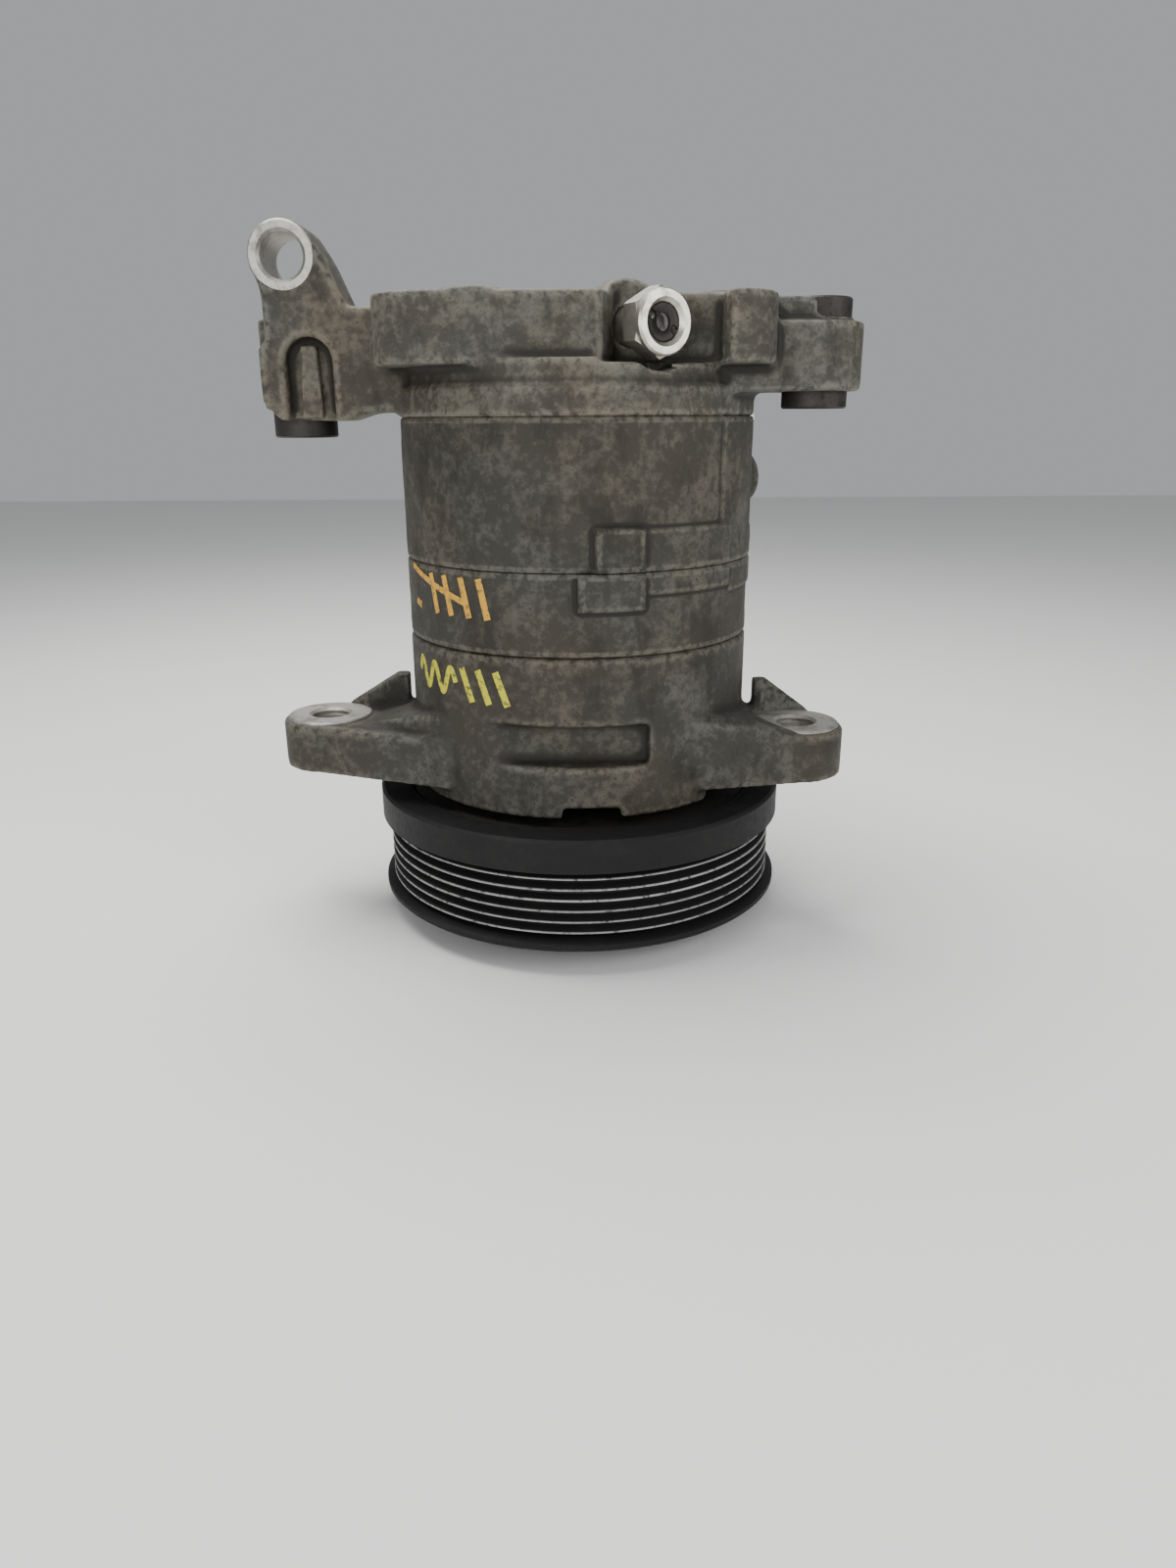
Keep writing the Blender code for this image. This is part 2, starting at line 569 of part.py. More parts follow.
def build_centre_housing():
    rebate_top = CENTRE_BOTTOM + SEAM_REBATE_HEIGHT
    housing = turned("centre_housing", [
        (SEAM_REBATE, CENTRE_BOTTOM), (BODY_RADIUS, CENTRE_BOTTOM), (BODY_RADIUS, CENTRE_TOP),
        (BODY_BORE, CENTRE_TOP), (BODY_BORE, LEDGE_TOP), (THRUST_BORE, LEDGE_TOP),
        (THRUST_BORE, LEDGE_BOTTOM), (BODY_BORE, LEDGE_BOTTOM), (BODY_BORE, rebate_top),
        (SEAM_REBATE, rebate_top)], cast_aluminium, BODY_STEPS)
    drill_bolt_holes(housing, CENTRE_BOTTOM - OVERRUN, CENTRE_TOP + OVERRUN)
    for number, place in enumerate(anti_rotation_places()):
        cut(housing, rod("pin_seat_{}".format(number + 1), ANTI_ROTATION_PIN_RADIUS + GAP,
                         LEDGE_TOP - OVERRUN, LEDGE_TOP + OVERRUN, None, HOLE_STEPS, place))


def build_seam_rings():
    """Sealing rings that sit in the rebate at the foot of each upper casting."""
    for label, foot in (("front", CENTRE_BOTTOM), ("centre", SHELL_BOTTOM), ("rear", REAR_BOTTOM)):
        ring("seam_ring_" + label, BODY_BORE + GAP, BODY_BORE + GAP + SEAM_RING_WIDTH, foot,
             foot + SEAM_RING_HEIGHT, sealing, BODY_STEPS)


def anti_rotation_places():
    places = []
    for number in range(ANTI_ROTATION_SETS):
        angle = 2 * math.pi * number / ANTI_ROTATION_SETS + math.radians(90.0)
        places.append((ANTI_ROTATION_PITCH_RADIUS * math.cos(angle),
                       ANTI_ROTATION_PITCH_RADIUS * math.sin(angle)))
    return places


def build_thrust_parts():
    plate = ring("thrust_plate", THRUST_BORE, BODY_BORE - GAP, THRUST_BOTTOM, THRUST_TOP,
                 steel, BODY_STEPS)
    for number, place in enumerate(anti_rotation_places()):
        label = str(number + 1)
        cut(plate, rod("thrust_hole_" + label, ANTI_ROTATION_PIN_RADIUS + GAP, THRUST_BOTTOM - OVERRUN,
                       THRUST_TOP + OVERRUN, None, HOLE_STEPS, place))
        rod("anti_rotation_pin_" + label, ANTI_ROTATION_PIN_RADIUS, LEDGE_TOP - OVERRUN + GAP,
            ORBIT_PLATE_BOTTOM + ANTI_ROTATION_RING_HEIGHT - 2 * GAP, steel, HOLE_STEPS, place)


# ---- Scrolls -------------------------------------------------------------------------------

def wrap_outline(turn):
    """Outline of a scroll wrap: an involute wall of constant thickness."""
    outer = []
    inner = []
    for step in range(WRAP_STEPS + 1):
        angle = WRAP_START + (WRAP_END - WRAP_START) * step / WRAP_STEPS
        for flank, shift in ((outer, WRAP_HALF_ANGLE), (inner, -WRAP_HALF_ANGLE)):
            roll = angle + shift
            x = INVOLUTE_RADIUS * (math.cos(angle) + roll * math.sin(angle))
            y = INVOLUTE_RADIUS * (math.sin(angle) - roll * math.cos(angle))
            flank.append((x * math.cos(turn) - y * math.sin(turn),
                          x * math.sin(turn) + y * math.cos(turn)))
    return outer + inner[::-1]


def build_fixed_scroll():
    shell = turned("fixed_scroll", [
        (0.0, END_PLATE_BOTTOM), (BODY_BORE, END_PLATE_BOTTOM),
        (BODY_BORE, SHELL_BOTTOM + SEAM_REBATE_HEIGHT), (SEAM_REBATE, SHELL_BOTTOM + SEAM_REBATE_HEIGHT),
        (SEAM_REBATE, SHELL_BOTTOM), (BODY_RADIUS, SHELL_BOTTOM), (BODY_RADIUS, SHELL_TOP),
        (0.0, SHELL_TOP)], cast_aluminium, BODY_STEPS)
    join(shell, prism("fixed_wrap", wrap_outline(0.0), FIXED_WRAP_BOTTOM, END_PLATE_BOTTOM + 1.0 * MM))
    add_service_pad(shell)
    cut(shell, rod("discharge_hole", DISCHARGE_HOLE_RADIUS, END_PLATE_BOTTOM - 30.0 * MM,
                   SHELL_TOP + OVERRUN, None, HOLE_STEPS))
    cut(shell, rod("suction_hole", SUCTION_DROP_RADIUS, END_PLATE_BOTTOM - 1.0 * MM, SHELL_TOP + OVERRUN,
                   None, HOLE_STEPS, (-PORT_SPACING, SUCTION_DROP_Y)))
    cut(shell, rod("reed_screw_hole", REED_SCREW_RADIUS + GAP, SHELL_TOP - REED_SCREW_DEPTH - GAP,
                   SHELL_TOP + OVERRUN, None, HOLE_STEPS, (0.0, REED_LENGTH - REED_WIDTH / 2)))
    drill_bolt_holes(shell, SHELL_BOTTOM - OVERRUN, SHELL_TOP + OVERRUN)


def add_service_pad(shell):
    """Flat pad at the right rear of the shell, with a blind boss below and a plug above."""
    plug_height = SHELL_TOP + GAP
    pad = box("service_pad", (-SERVICE_PAD_HALF_WIDTH, -SERVICE_PAD_ABOVE, BODY_RADIUS - 4.0 * MM),
              (SERVICE_PAD_HALF_WIDTH, SERVICE_PAD_BELOW, SERVICE_PAD_FACE))
    pad.data.transform(Matrix.Rotation(math.pi, 4, "Z"))
    pad.data.transform(radial_frame(SERVICE_ANGLE, plug_height))
    boss = radial_rod("service_boss", SERVICE_BOSS_RADIUS, BODY_RADIUS - 3.0 * MM, SERVICE_BOSS_FACE,
                      SERVICE_ANGLE, plug_height - SERVICE_BOSS_DROP, RING_STEPS)
    join(shell, pad, boss)
    cut(shell, rod("service_pad_relief", BODY_RADIUS + 2 * GAP, SHELL_TOP, SHELL_TOP + 30.0 * MM,
                   None, BODY_STEPS))
    cut(shell, radial_rod("service_plug_hole", SERVICE_PLUG_THREAD + GAP,
                          SERVICE_PAD_FACE - SERVICE_PLUG_DEPTH / 2, SERVICE_PAD_FACE + OVERRUN,
                          SERVICE_ANGLE, plug_height, HOLE_STEPS))


def build_service_plug():
    """Hexagon plug screwed into the service pad."""
    face = SERVICE_PAD_FACE + GAP
    plug = rod("service_plug", SERVICE_PLUG_RADIUS, face, face + SERVICE_PLUG_HEIGHT, dark_steel, 6)
    thread_end = SERVICE_PAD_FACE - SERVICE_PLUG_DEPTH / 2 + GAP
    thread = rod("service_plug_thread", SERVICE_PLUG_THREAD, thread_end, face + 1.0 * MM,
                 None, HOLE_STEPS)
    join(plug, thread)
    frame = radial_frame(SERVICE_ANGLE, SHELL_TOP + GAP)
    plug.data.transform(frame)
    thread.data.transform(frame)


def build_orbiting_scroll(axis):
    """The moving scroll, drawn about its own centre, which is the crank pin's axis."""
    scroll = turned("orbiting_scroll", [
        (0.0, ORBIT_PLATE_BOTTOM), (ORBIT_BOSS_BORE, ORBIT_PLATE_BOTTOM),
        (ORBIT_BOSS_BORE, WEIGHT_TOP + 3 * GAP),
        (ORBIT_BOSS_RADIUS, WEIGHT_TOP + 3 * GAP), (ORBIT_BOSS_RADIUS, ORBIT_PLATE_BOTTOM),
        (ORBIT_PLATE_RADIUS, ORBIT_PLATE_BOTTOM), (ORBIT_PLATE_RADIUS, ORBIT_PLATE_TOP),
        (0.0, ORBIT_PLATE_TOP)], cast_aluminium, BODY_STEPS)
    wrap_top = END_PLATE_BOTTOM - GAP
    join(scroll, prism("orbiting_wrap", wrap_outline(math.pi), ORBIT_PLATE_TOP - 1.0 * MM, wrap_top))
    ring_outer = RING_BORE + ANTI_ROTATION_RING_WALL
    children = [scroll]
    for number, place in enumerate(anti_rotation_places()):
        label = str(number + 1)
        seat = rod("ring_seat_" + label, ring_outer + GAP, ORBIT_PLATE_BOTTOM - OVERRUN,
                   ORBIT_PLATE_BOTTOM + ANTI_ROTATION_RING_HEIGHT + GAP, None, RING_STEPS, place)
        cut(scroll, seat)
        children.append(seat)
        children.append(ring("anti_rotation_ring_" + label, RING_BORE, ring_outer, ORBIT_PLATE_BOTTOM,
                             ORBIT_PLATE_BOTTOM + ANTI_ROTATION_RING_HEIGHT, steel, HOLE_STEPS, place))
    bearing_top = ORBIT_PLATE_BOTTOM - 2 * GAP
    children.append(ring("drive_bearing", BUSH_OUTER + GAP, DRIVE_BEARING_OUTER, WEIGHT_TOP + 3 * GAP,
                         bearing_top, steel, RING_STEPS))
    children.append(bpy.data.objects["orbiting_wrap"])
    carry(axis, *children)


# ---- Rear head -----------------------------------------------------------------------------

def left_arm_outline():
    """Arm and lug seen from the front: X across, Z up."""
    eye = arc((EYE_X, EYE_HEIGHT), EYE_RADIUS, math.radians(20.0), math.radians(190.0), 12)
    side = EYE_X - EYE_RADIUS + 2.0 * MM
    return eye + [
        (side, REAR_TOP - 2 * LEFT_ARM_CORNER),
        (LEFT_ARM_OUTER, REAR_TOP - 2.6 * LEFT_ARM_CORNER),
        (LEFT_ARM_OUTER, LEFT_ARM_BOTTOM + LEFT_ARM_CORNER),
        (LEFT_ARM_OUTER + LEFT_ARM_CORNER, LEFT_ARM_BOTTOM),
        (-BODY_RADIUS - 2 * LEFT_ARM_CLEARANCE, LEFT_ARM_BOTTOM),
        (-BODY_RADIUS - LEFT_ARM_CLEARANCE, LEFT_ARM_BOTTOM + LEFT_ARM_STEP),
        (LEFT_ARM_ROOT - 9.0 * MM, LEFT_ARM_BOTTOM + LEFT_ARM_STEP),
        (LEFT_ARM_ROOT, REAR_BAR_BOTTOM + 1.0 * MM), (LEFT_ARM_ROOT, REAR_TOP), (EYE_WEB_INNER, REAR_TOP)]


def build_rear_head():
    bar = rounded_rectangle((-REAR_BAR_HALF_WIDTH, REAR_BAR_FRONT),
                            (REAR_BAR_HALF_WIDTH, REAR_BAR_BACK), REAR_BAR_CORNER)
    head = prism("rear_head", bar, REAR_BAR_BOTTOM, REAR_TOP, cast_aluminium)
    step = REAR_BOTTOM + REAR_HEAD_SKIRT_STEP
    groove_top = REAR_BOTTOM + SEAM_REBATE_HEIGHT
    join(head, turned("rear_skirt", [
        (0.0, REAR_BOTTOM), (BODY_BORE, REAR_BOTTOM), (BODY_BORE, groove_top), (SEAM_REBATE, groove_top),
        (SEAM_REBATE, REAR_BOTTOM), (BODY_RADIUS, REAR_BOTTOM), (BODY_RADIUS, step),
        (REAR_NECK_RADIUS, step + 1.6 * MM), (REAR_NECK_RADIUS, REAR_BAR_BOTTOM + 3.0 * MM),
        (0.0, REAR_BAR_BOTTOM + 3.0 * MM)], None, BODY_STEPS))
    add_relief_boss(head)
    add_left_arm(head)
    add_right_arm(head)
    add_ports(head)
    cut(head, rod("discharge_chamber", DISCHARGE_CHAMBER_RADIUS, REAR_BOTTOM - OVERRUN,
                  REAR_BOTTOM + DISCHARGE_CHAMBER_DEPTH, None, RING_STEPS))
    drill_bolt_holes(head, REAR_BOTTOM - OVERRUN, REAR_TOP + OVERRUN)
    for number, place in enumerate(bolt_places()):
        cut(head, rod("bolt_head_seat_{}".format(number + 1), THROUGH_BOLT_HEAD_RADIUS + GAP,
                      REAR_TOP - THROUGH_BOLT_SINK - THROUGH_BOLT_HEAD_HEIGHT - GAP, REAR_TOP + OVERRUN,
                      None, HOLE_STEPS, place))


def add_left_arm(head):
    back_of_eye = LEFT_ARM_FRONT + EYE_THICKNESS
    arm = standing_prism("left_arm", left_arm_outline(), LEFT_ARM_FRONT, back_of_eye)
    block = prism("left_bush_block",
                  rounded_rectangle((LEFT_ARM_OUTER + 0.4 * MM, back_of_eye - 3.0 * MM),
                                    (LEFT_ARM_ROOT - 2.0 * MM, LEFT_ARM_BACK), 3.0 * MM, 3),
                  LEFT_ARM_BOTTOM + 3.0 * MM, REAR_TOP - 4.0 * MM)
    join(head, arm, block)
    cut(head, rod("left_bush_hole", BUSH_RADIUS + GAP, LEFT_ARM_BOTTOM - 2 * OVERRUN,
                  LEFT_BUSH_BOTTOM + LEFT_BUSH_LENGTH + GAP, None, RING_STEPS, LEFT_BOLT_AXIS))
    slot_end = GROOVE_TOP - GROOVE_RADIUS
    slot = arc((GROOVE_X, slot_end), GROOVE_RADIUS, 0.0, math.pi, 10)
    slot += [(GROOVE_X - GROOVE_RADIUS, LEFT_ARM_BOTTOM - OVERRUN),
             (GROOVE_X + GROOVE_RADIUS, LEFT_ARM_BOTTOM - OVERRUN)]
    cut(head, standing_prism("left_arm_groove", slot, LEFT_ARM_FRONT - OVERRUN,
                             LEFT_ARM_FRONT + GROOVE_CUT_DEPTH))
    eye_bore = rod("eye_bore", EYE_BORE_RADIUS, LEFT_ARM_FRONT - OVERRUN, back_of_eye + OVERRUN,
                   None, RING_STEPS)
    eye_frame = Matrix.Translation((EYE_X, 0.0, EYE_HEIGHT)) @ Matrix.Rotation(-math.pi / 2, 4, "X")
    eye_bore.data.transform(eye_frame)
    cut(head, eye_bore)


def add_right_arm(head):
    axis = RIGHT_BOLT_AXIS
    root = REAR_BAR_HALF_WIDTH - 14.0 * MM
    outline = arc(axis, RIGHT_ARM_RADIUS, -math.pi / 2, math.pi / 2, 10)
    front = axis[1] - RIGHT_ARM_RADIUS
    outline += [(root, front + RIGHT_ARM_ROOT_DEPTH), (root, front)]
    top = RIGHT_ARM_BOTTOM + RIGHT_ARM_HEIGHT
    arm = prism("right_arm", outline, RIGHT_ARM_BOTTOM, top)
    web = [(root, axis[1] - BUSH_RADIUS), (axis[0], axis[1] - BUSH_RADIUS),
           (axis[0], axis[1] + BUSH_RADIUS), (root, axis[1] + BUSH_RADIUS)]
    join(head, arm, prism("right_arm_web", web, top - 2.0 * MM, REAR_TOP - 0.4 * MM))
    cut(head, rod("right_bush_hole", BUSH_RADIUS + GAP, RIGHT_ARM_BOTTOM - 2 * OVERRUN,
                  REAR_TOP + OVERRUN, None, RING_STEPS, axis))


def add_ports(head):
    """Flat manifold face at the back, with the suction and discharge ports and one screw hole."""
    height = REAR_BAR_BOTTOM + PORT_HEIGHT_IN_BAR
    back = math.pi / 2
    join(head, box("port_block",
                   (-PORT_BLOCK_HALF_WIDTH, REAR_BAR_BACK - 8.0 * MM, REAR_BAR_BOTTOM + 2 * GAP),
                   (PORT_BLOCK_HALF_WIDTH, PORT_FACE, REAR_TOP - 2 * GAP)))
    suction = radial_rod("suction_port", SUCTION_RADIUS, SUCTION_DROP_Y - SUCTION_DROP_RADIUS,
                         PORT_FACE + OVERRUN, back, height, HOLE_STEPS)
    suction.data.transform(Matrix.Translation((-PORT_SPACING, 0.0, 0.0)))
    drop = rod("suction_drop", SUCTION_DROP_RADIUS, REAR_BOTTOM - OVERRUN, height, None, HOLE_STEPS,
               (-PORT_SPACING, SUCTION_DROP_Y))
    discharge = radial_rod("discharge_port", DISCHARGE_RADIUS, 8.0 * MM, PORT_FACE + OVERRUN,
                           back, height, HOLE_STEPS)
    discharge.data.transform(Matrix.Translation((PORT_SPACING, 0.0, 0.0)))
    screw = radial_rod("manifold_screw_hole", MANIFOLD_SCREW_RADIUS, PORT_FACE - MANIFOLD_SCREW_DEPTH,
                       PORT_FACE + OVERRUN, back, height, BOLT_STEPS)
    cut(head, suction, drop, discharge, screw)


def relief_frame():
    """Place of the relief valve: +Z points out of the boss, the origin is on its face."""
    height = REAR_BAR_BOTTOM + RELIEF_HEIGHT_IN_BAR
    return Matrix.Translation((*RELIEF_SEAT, 0.0)) @ radial_frame(RELIEF_TURN - math.pi / 2, height)


def add_relief_boss(head):
    """Recess in the front of the bar, with a round boss drilled for the valve."""
    edge = REAR_BAR_FRONT - 8.0 * MM
    start = VALVE_RECESS_START
    recess = [(start, edge), (start + VALVE_RECESS_SLOPE, VALVE_RECESS_FLOOR),
              (REAR_BAR_HALF_WIDTH + OVERRUN, VALVE_RECESS_FLOOR),
              (REAR_BAR_HALF_WIDTH + OVERRUN, edge)]
    cut(head, prism("valve_recess", recess, REAR_BAR_BOTTOM + 0.2 * MM, REAR_TOP + OVERRUN))
    boss = rod("relief_boss", RELIEF_BOSS_RADIUS, -RELIEF_BOSS_LENGTH, 0.0, None, RING_STEPS)
    thread = rod("relief_thread_hole", RELIEF_THREAD_RADIUS + GAP, -RELIEF_THREAD_LENGTH - GAP, OVERRUN,
                 None, RING_STEPS)
    gas = rod("relief_gas_hole", RELIEF_SEAT_RADIUS, -RELIEF_GAS_LENGTH, -RELIEF_THREAD_LENGTH + OVERRUN)
    for tool in (boss, thread, gas):
        tool.data.transform(relief_frame())
    join(head, boss)
    cut(head, thread, gas)


# ---- Relief valve --------------------------------------------------------------------------

def build_relief_valve():
    """Valve drawn along its own +Z, which an empty lays along the axis of the boss."""
    seat = empty("relief_valve_axis")
    seat.matrix_world = relief_frame()
    face = GAP
    hex_top = face + RELIEF_HEX_HEIGHT
    rim_top = hex_top + RELIEF_RIM_HEIGHT
    thread_end = -RELIEF_THREAD_LENGTH
    bore_floor = face + 1.0 * MM
    body = rod("relief_valve_body", RELIEF_HEX_RADIUS, face, hex_top, zinc, 6)
    rim = rod("relief_rim", RELIEF_RIM_RADIUS, hex_top - 1.0 * MM, rim_top, None, RING_STEPS)
    thread = rod("relief_thread", RELIEF_THREAD_RADIUS, thread_end, face + 0.5 * MM, None, RING_STEPS)
    well = rod("relief_well", RELIEF_BORE_RADIUS, bore_floor, rim_top + OVERRUN, None, RING_STEPS)
    guide = rod("relief_guide", POPPET_RADIUS + GAP, thread_end - OVERRUN, bore_floor + 1.0 * MM,
                None, HOLE_STEPS)
    join(body, rim, thread)
    cut(body, well, guide)
    head_bottom = bore_floor + GAP
    head_top = head_bottom + POPPET_HEAD_HEIGHT
    poppet = turned("relief_poppet", [
        (0.0, head_bottom - POPPET_LENGTH), (POPPET_RADIUS, head_bottom - POPPET_LENGTH),
        (POPPET_RADIUS, head_bottom), (POPPET_HEAD_RADIUS, head_bottom),
        (POPPET_HEAD_RADIUS, head_top), (0.0, head_top)], steel, RING_STEPS)
    cage_bottom = rim_top - 1.2 * MM - RELIEF_CAGE_THICKNESS
    cage = ring("relief_cage", POPPET_RADIUS, RELIEF_BORE_RADIUS - GAP, cage_bottom,
                cage_bottom + RELIEF_CAGE_THICKNESS, zinc, RING_STEPS)
    room = cage_bottom - head_top - 2 * GAP
    turns = int((room - RELIEF_TRAVEL) / (2 * RELIEF_SPRING_WIRE)) - 1
    spring = coil_spring("relief_spring", POPPET_RADIUS + 2 * GAP, RELIEF_SPRING_WIRE,
                         head_top + GAP, cage_bottom - GAP, turns, steel)
    carry(seat, body, rim, thread, well, guide, poppet, cage, spring)


def coil_spring(name, radius, wire, bottom, top, turns, finish):
    """A round-wire compression spring whose coils stay apart when it is squeezed."""
    mesh = bmesh.new()
    steps = SPRING_STEPS * turns
    rise = top - bottom - 2 * wire
    rings = []
    for step in range(steps + 1):
        share = step / steps
        turn = Matrix.Rotation(2 * math.pi * turns * share, 4, "Z")
        loop = []
        for side in range(BALL_STEPS):
            angle = 2 * math.pi * side / BALL_STEPS
            spot = Vector((radius + wire * math.cos(angle), 0.0,
                           bottom + wire + rise * share + wire * math.sin(angle)))
            loop.append(mesh.verts.new(turn @ spot))
        rings.append(loop)
    mesh.faces.new(rings[0])
    mesh.faces.new(rings[-1][::-1])
    for low, high in zip(rings, rings[1:]):
        for side in range(BALL_STEPS):
            after = (side + 1) % BALL_STEPS
            mesh.faces.new((low[side], high[side], high[after]))
            mesh.faces.new((low[side], high[after], low[after]))
    return finish_object(name, mesh, finish)


# ---- Discharge reed ------------------------------------------------------------------------

def build_reed_set():
    """Reed over the discharge hole, hinged where its stop and screw clamp it."""
    screw_y = REED_LENGTH - REED_WIDTH / 2
    root_y = screw_y - REED_SCREW_HEAD_RADIUS - GAP
    bottom = SHELL_TOP + GAP
    axis = empty("reed_axis", (0.0, root_y, bottom))
    half = REED_WIDTH / 2
    tip = arc((0.0, -root_y), half, math.pi, 2 * math.pi, 10)
    blade = prism("discharge_reed", tip + [(half, -GAP), (-half, -GAP)], 0.0, REED_THICKNESS, steel)
    blade.parent = axis
    rise = math.tan(REED_LIFT + math.radians(1.5))
    low = REED_THICKNESS + GAP
    reach = root_y + half
    outline = [(root_y - reach, low + reach * rise), (root_y, low), (screw_y + half, low),
               (screw_y + half, low + REED_STOP_THICKNESS), (root_y, low + REED_STOP_THICKNESS),
               (root_y - reach, low + reach * rise + REED_STOP_THICKNESS)]
    stop = prism("reed_stop", outline, -half, half, steel)
    stop.data.transform(Matrix(((0, 0, 1, 0), (1, 0, 0, 0), (0, 1, 0, bottom), (0, 0, 0, 1))))
    cut(stop, rod("reed_stop_hole", REED_SCREW_RADIUS + GAP, bottom - OVERRUN,
                  bottom + REED_STOP_HOLE_REACH, None, HOLE_STEPS, (0.0, screw_y)))
    head_bottom = bottom + low + REED_STOP_THICKNESS + GAP
    turned("reed_screw", [
        (0.0, SHELL_TOP - REED_SCREW_DEPTH), (REED_SCREW_RADIUS, SHELL_TOP - REED_SCREW_DEPTH),
        (REED_SCREW_RADIUS, head_bottom), (REED_SCREW_HEAD_RADIUS, head_bottom),
        (REED_SCREW_HEAD_RADIUS, head_bottom + REED_SCREW_HEAD_HEIGHT),
        (0.0, head_bottom + REED_SCREW_HEAD_HEIGHT)], dark_steel, HOLE_STEPS, (0.0, screw_y))


# ---- Fasteners and bushes ------------------------------------------------------------------

def build_through_bolts():
    head_top = REAR_TOP - THROUGH_BOLT_SINK
    head_bottom = head_top - THROUGH_BOLT_HEAD_HEIGHT
    end = FRONT_HEAD_TOP - THROUGH_BOLT_GRIP
    for number, place in enumerate(bolt_places()):
        turned("through_bolt_{}".format(number + 1), [
            (0.0, end), (THROUGH_BOLT_RADIUS, end), (THROUGH_BOLT_RADIUS, head_bottom),
            (THROUGH_BOLT_HEAD_RADIUS, head_bottom), (THROUGH_BOLT_HEAD_RADIUS, head_top),
            (0.0, head_top)], dark_steel, BOLT_STEPS, place)


def build_bushes():
    sides = (("left", LEFT_BOLT_AXIS, LEFT_BUSH_BOTTOM, LEFT_BUSH_LENGTH),
             ("right", RIGHT_BOLT_AXIS, RIGHT_BUSH_BOTTOM, RIGHT_BUSH_LENGTH))
    for label, axis, bottom, length in sides:
        ring("rear_bush_" + label, BUSH_BORE_RADIUS, BUSH_RADIUS, bottom, bottom + length, dark_steel,
             BUSH_STEPS, axis)


# ---- Shaft group ---------------------------------------------------------------------------

def build_shaft(axis, pin_axis):
    hub_seat = HUB_BOLT_HEAD_HEIGHT + 4 * GAP
    shaft = turned("drive_shaft", [
        (HUB_BOLT_RADIUS + GAP, hub_seat), (SHAFT_RADIUS - 1.0 * MM, hub_seat),
        (SHAFT_RADIUS - 1.0 * MM, HUB_BOSS_LENGTH), (SHAFT_RADIUS, HUB_BOSS_LENGTH + GAP),
        (SHAFT_RADIUS, SHAFT_STEP), (JOURNAL_RADIUS, SHAFT_STEP + 1.0 * MM),
        (JOURNAL_RADIUS, JOURNAL_TOP),
        (0.0, JOURNAL_TOP), (0.0, HUB_BOLT_LENGTH + 2 * GAP),
        (HUB_BOLT_RADIUS + GAP, HUB_BOLT_LENGTH + 2 * GAP)], steel, RING_STEPS)
    pin = rod("crank_pin", CRANK_PIN_RADIUS, JOURNAL_TOP - 1.0 * MM, ORBIT_PLATE_BOTTOM - 4 * GAP,
              None, RING_STEPS)
    pin.parent = pin_axis
    join(shaft, pin)
    shaft.parent = axis


def build_eccentric_bush(pin_axis):
    bush = ring("eccentric_bush", CRANK_PIN_RADIUS + GAP, BUSH_OUTER, WEIGHT_TOP + GAP,
                ORBIT_PLATE_BOTTOM - 3 * GAP, steel, RING_STEPS)
    half = math.radians(75.0)
    outline = arc((-ORBIT_RADIUS, 0.0), COUNTERWEIGHT_RADIUS, math.pi - half, math.pi + half, 18)
    outline += arc((0.0, 0.0), BUSH_OUTER, -math.pi / 2, math.pi / 2, 12)
    weight = prism("counterweight", outline, WEIGHT_BOTTOM, WEIGHT_TOP, steel)
    bore = rod("counterweight_bore", CRANK_PIN_RADIUS + GAP, WEIGHT_BOTTOM - OVERRUN,
               WEIGHT_TOP + OVERRUN, None, RING_STEPS)
    cut(weight, bore)
    carry(pin_axis, bush, weight, bore)


def build_bearing(prefix, cage_name, inner, outer, bottom, top):
    """Deep-groove bearing: two races, and a cage ring with its balls in one piece."""
    inner_race = ring(prefix + "_inner_race", inner, inner + RACE_WALL, bottom, top, steel, RING_STEPS)
    outer_race = ring(prefix + "_outer_race", outer - RACE_WALL, outer, bottom, top, steel, RING_STEPS)
    middle = (inner + outer) / 2
    room = (outer - inner) / 2 - RACE_WALL - GAP
    height = (bottom + top) / 2
    cage = ring(cage_name, middle - room * 0.45, middle + room * 0.45, height - room * 0.5,
                height + room * 0.5, steel, HOLE_STEPS)
    balls = []
    for number in range(BALL_COUNT):
        angle = 2 * math.pi * number / BALL_COUNT
        place = (middle * math.cos(angle), middle * math.sin(angle))
        profile = [(room * math.cos(turn), height + room * math.sin(turn))
                   for turn in (-math.pi / 2, -math.pi / 6, math.pi / 6, math.pi / 2)]
        profile = [(max(radius, 0.0) if radius > 1e-9 else 0.0, level) for radius, level in profile]
        ball = turned("{}_ball_{}".format(cage_name, number + 1), profile, None, BALL_STEPS, place)
        join(cage, ball)
        balls.append(ball)
    return inner_race, outer_race, cage, balls


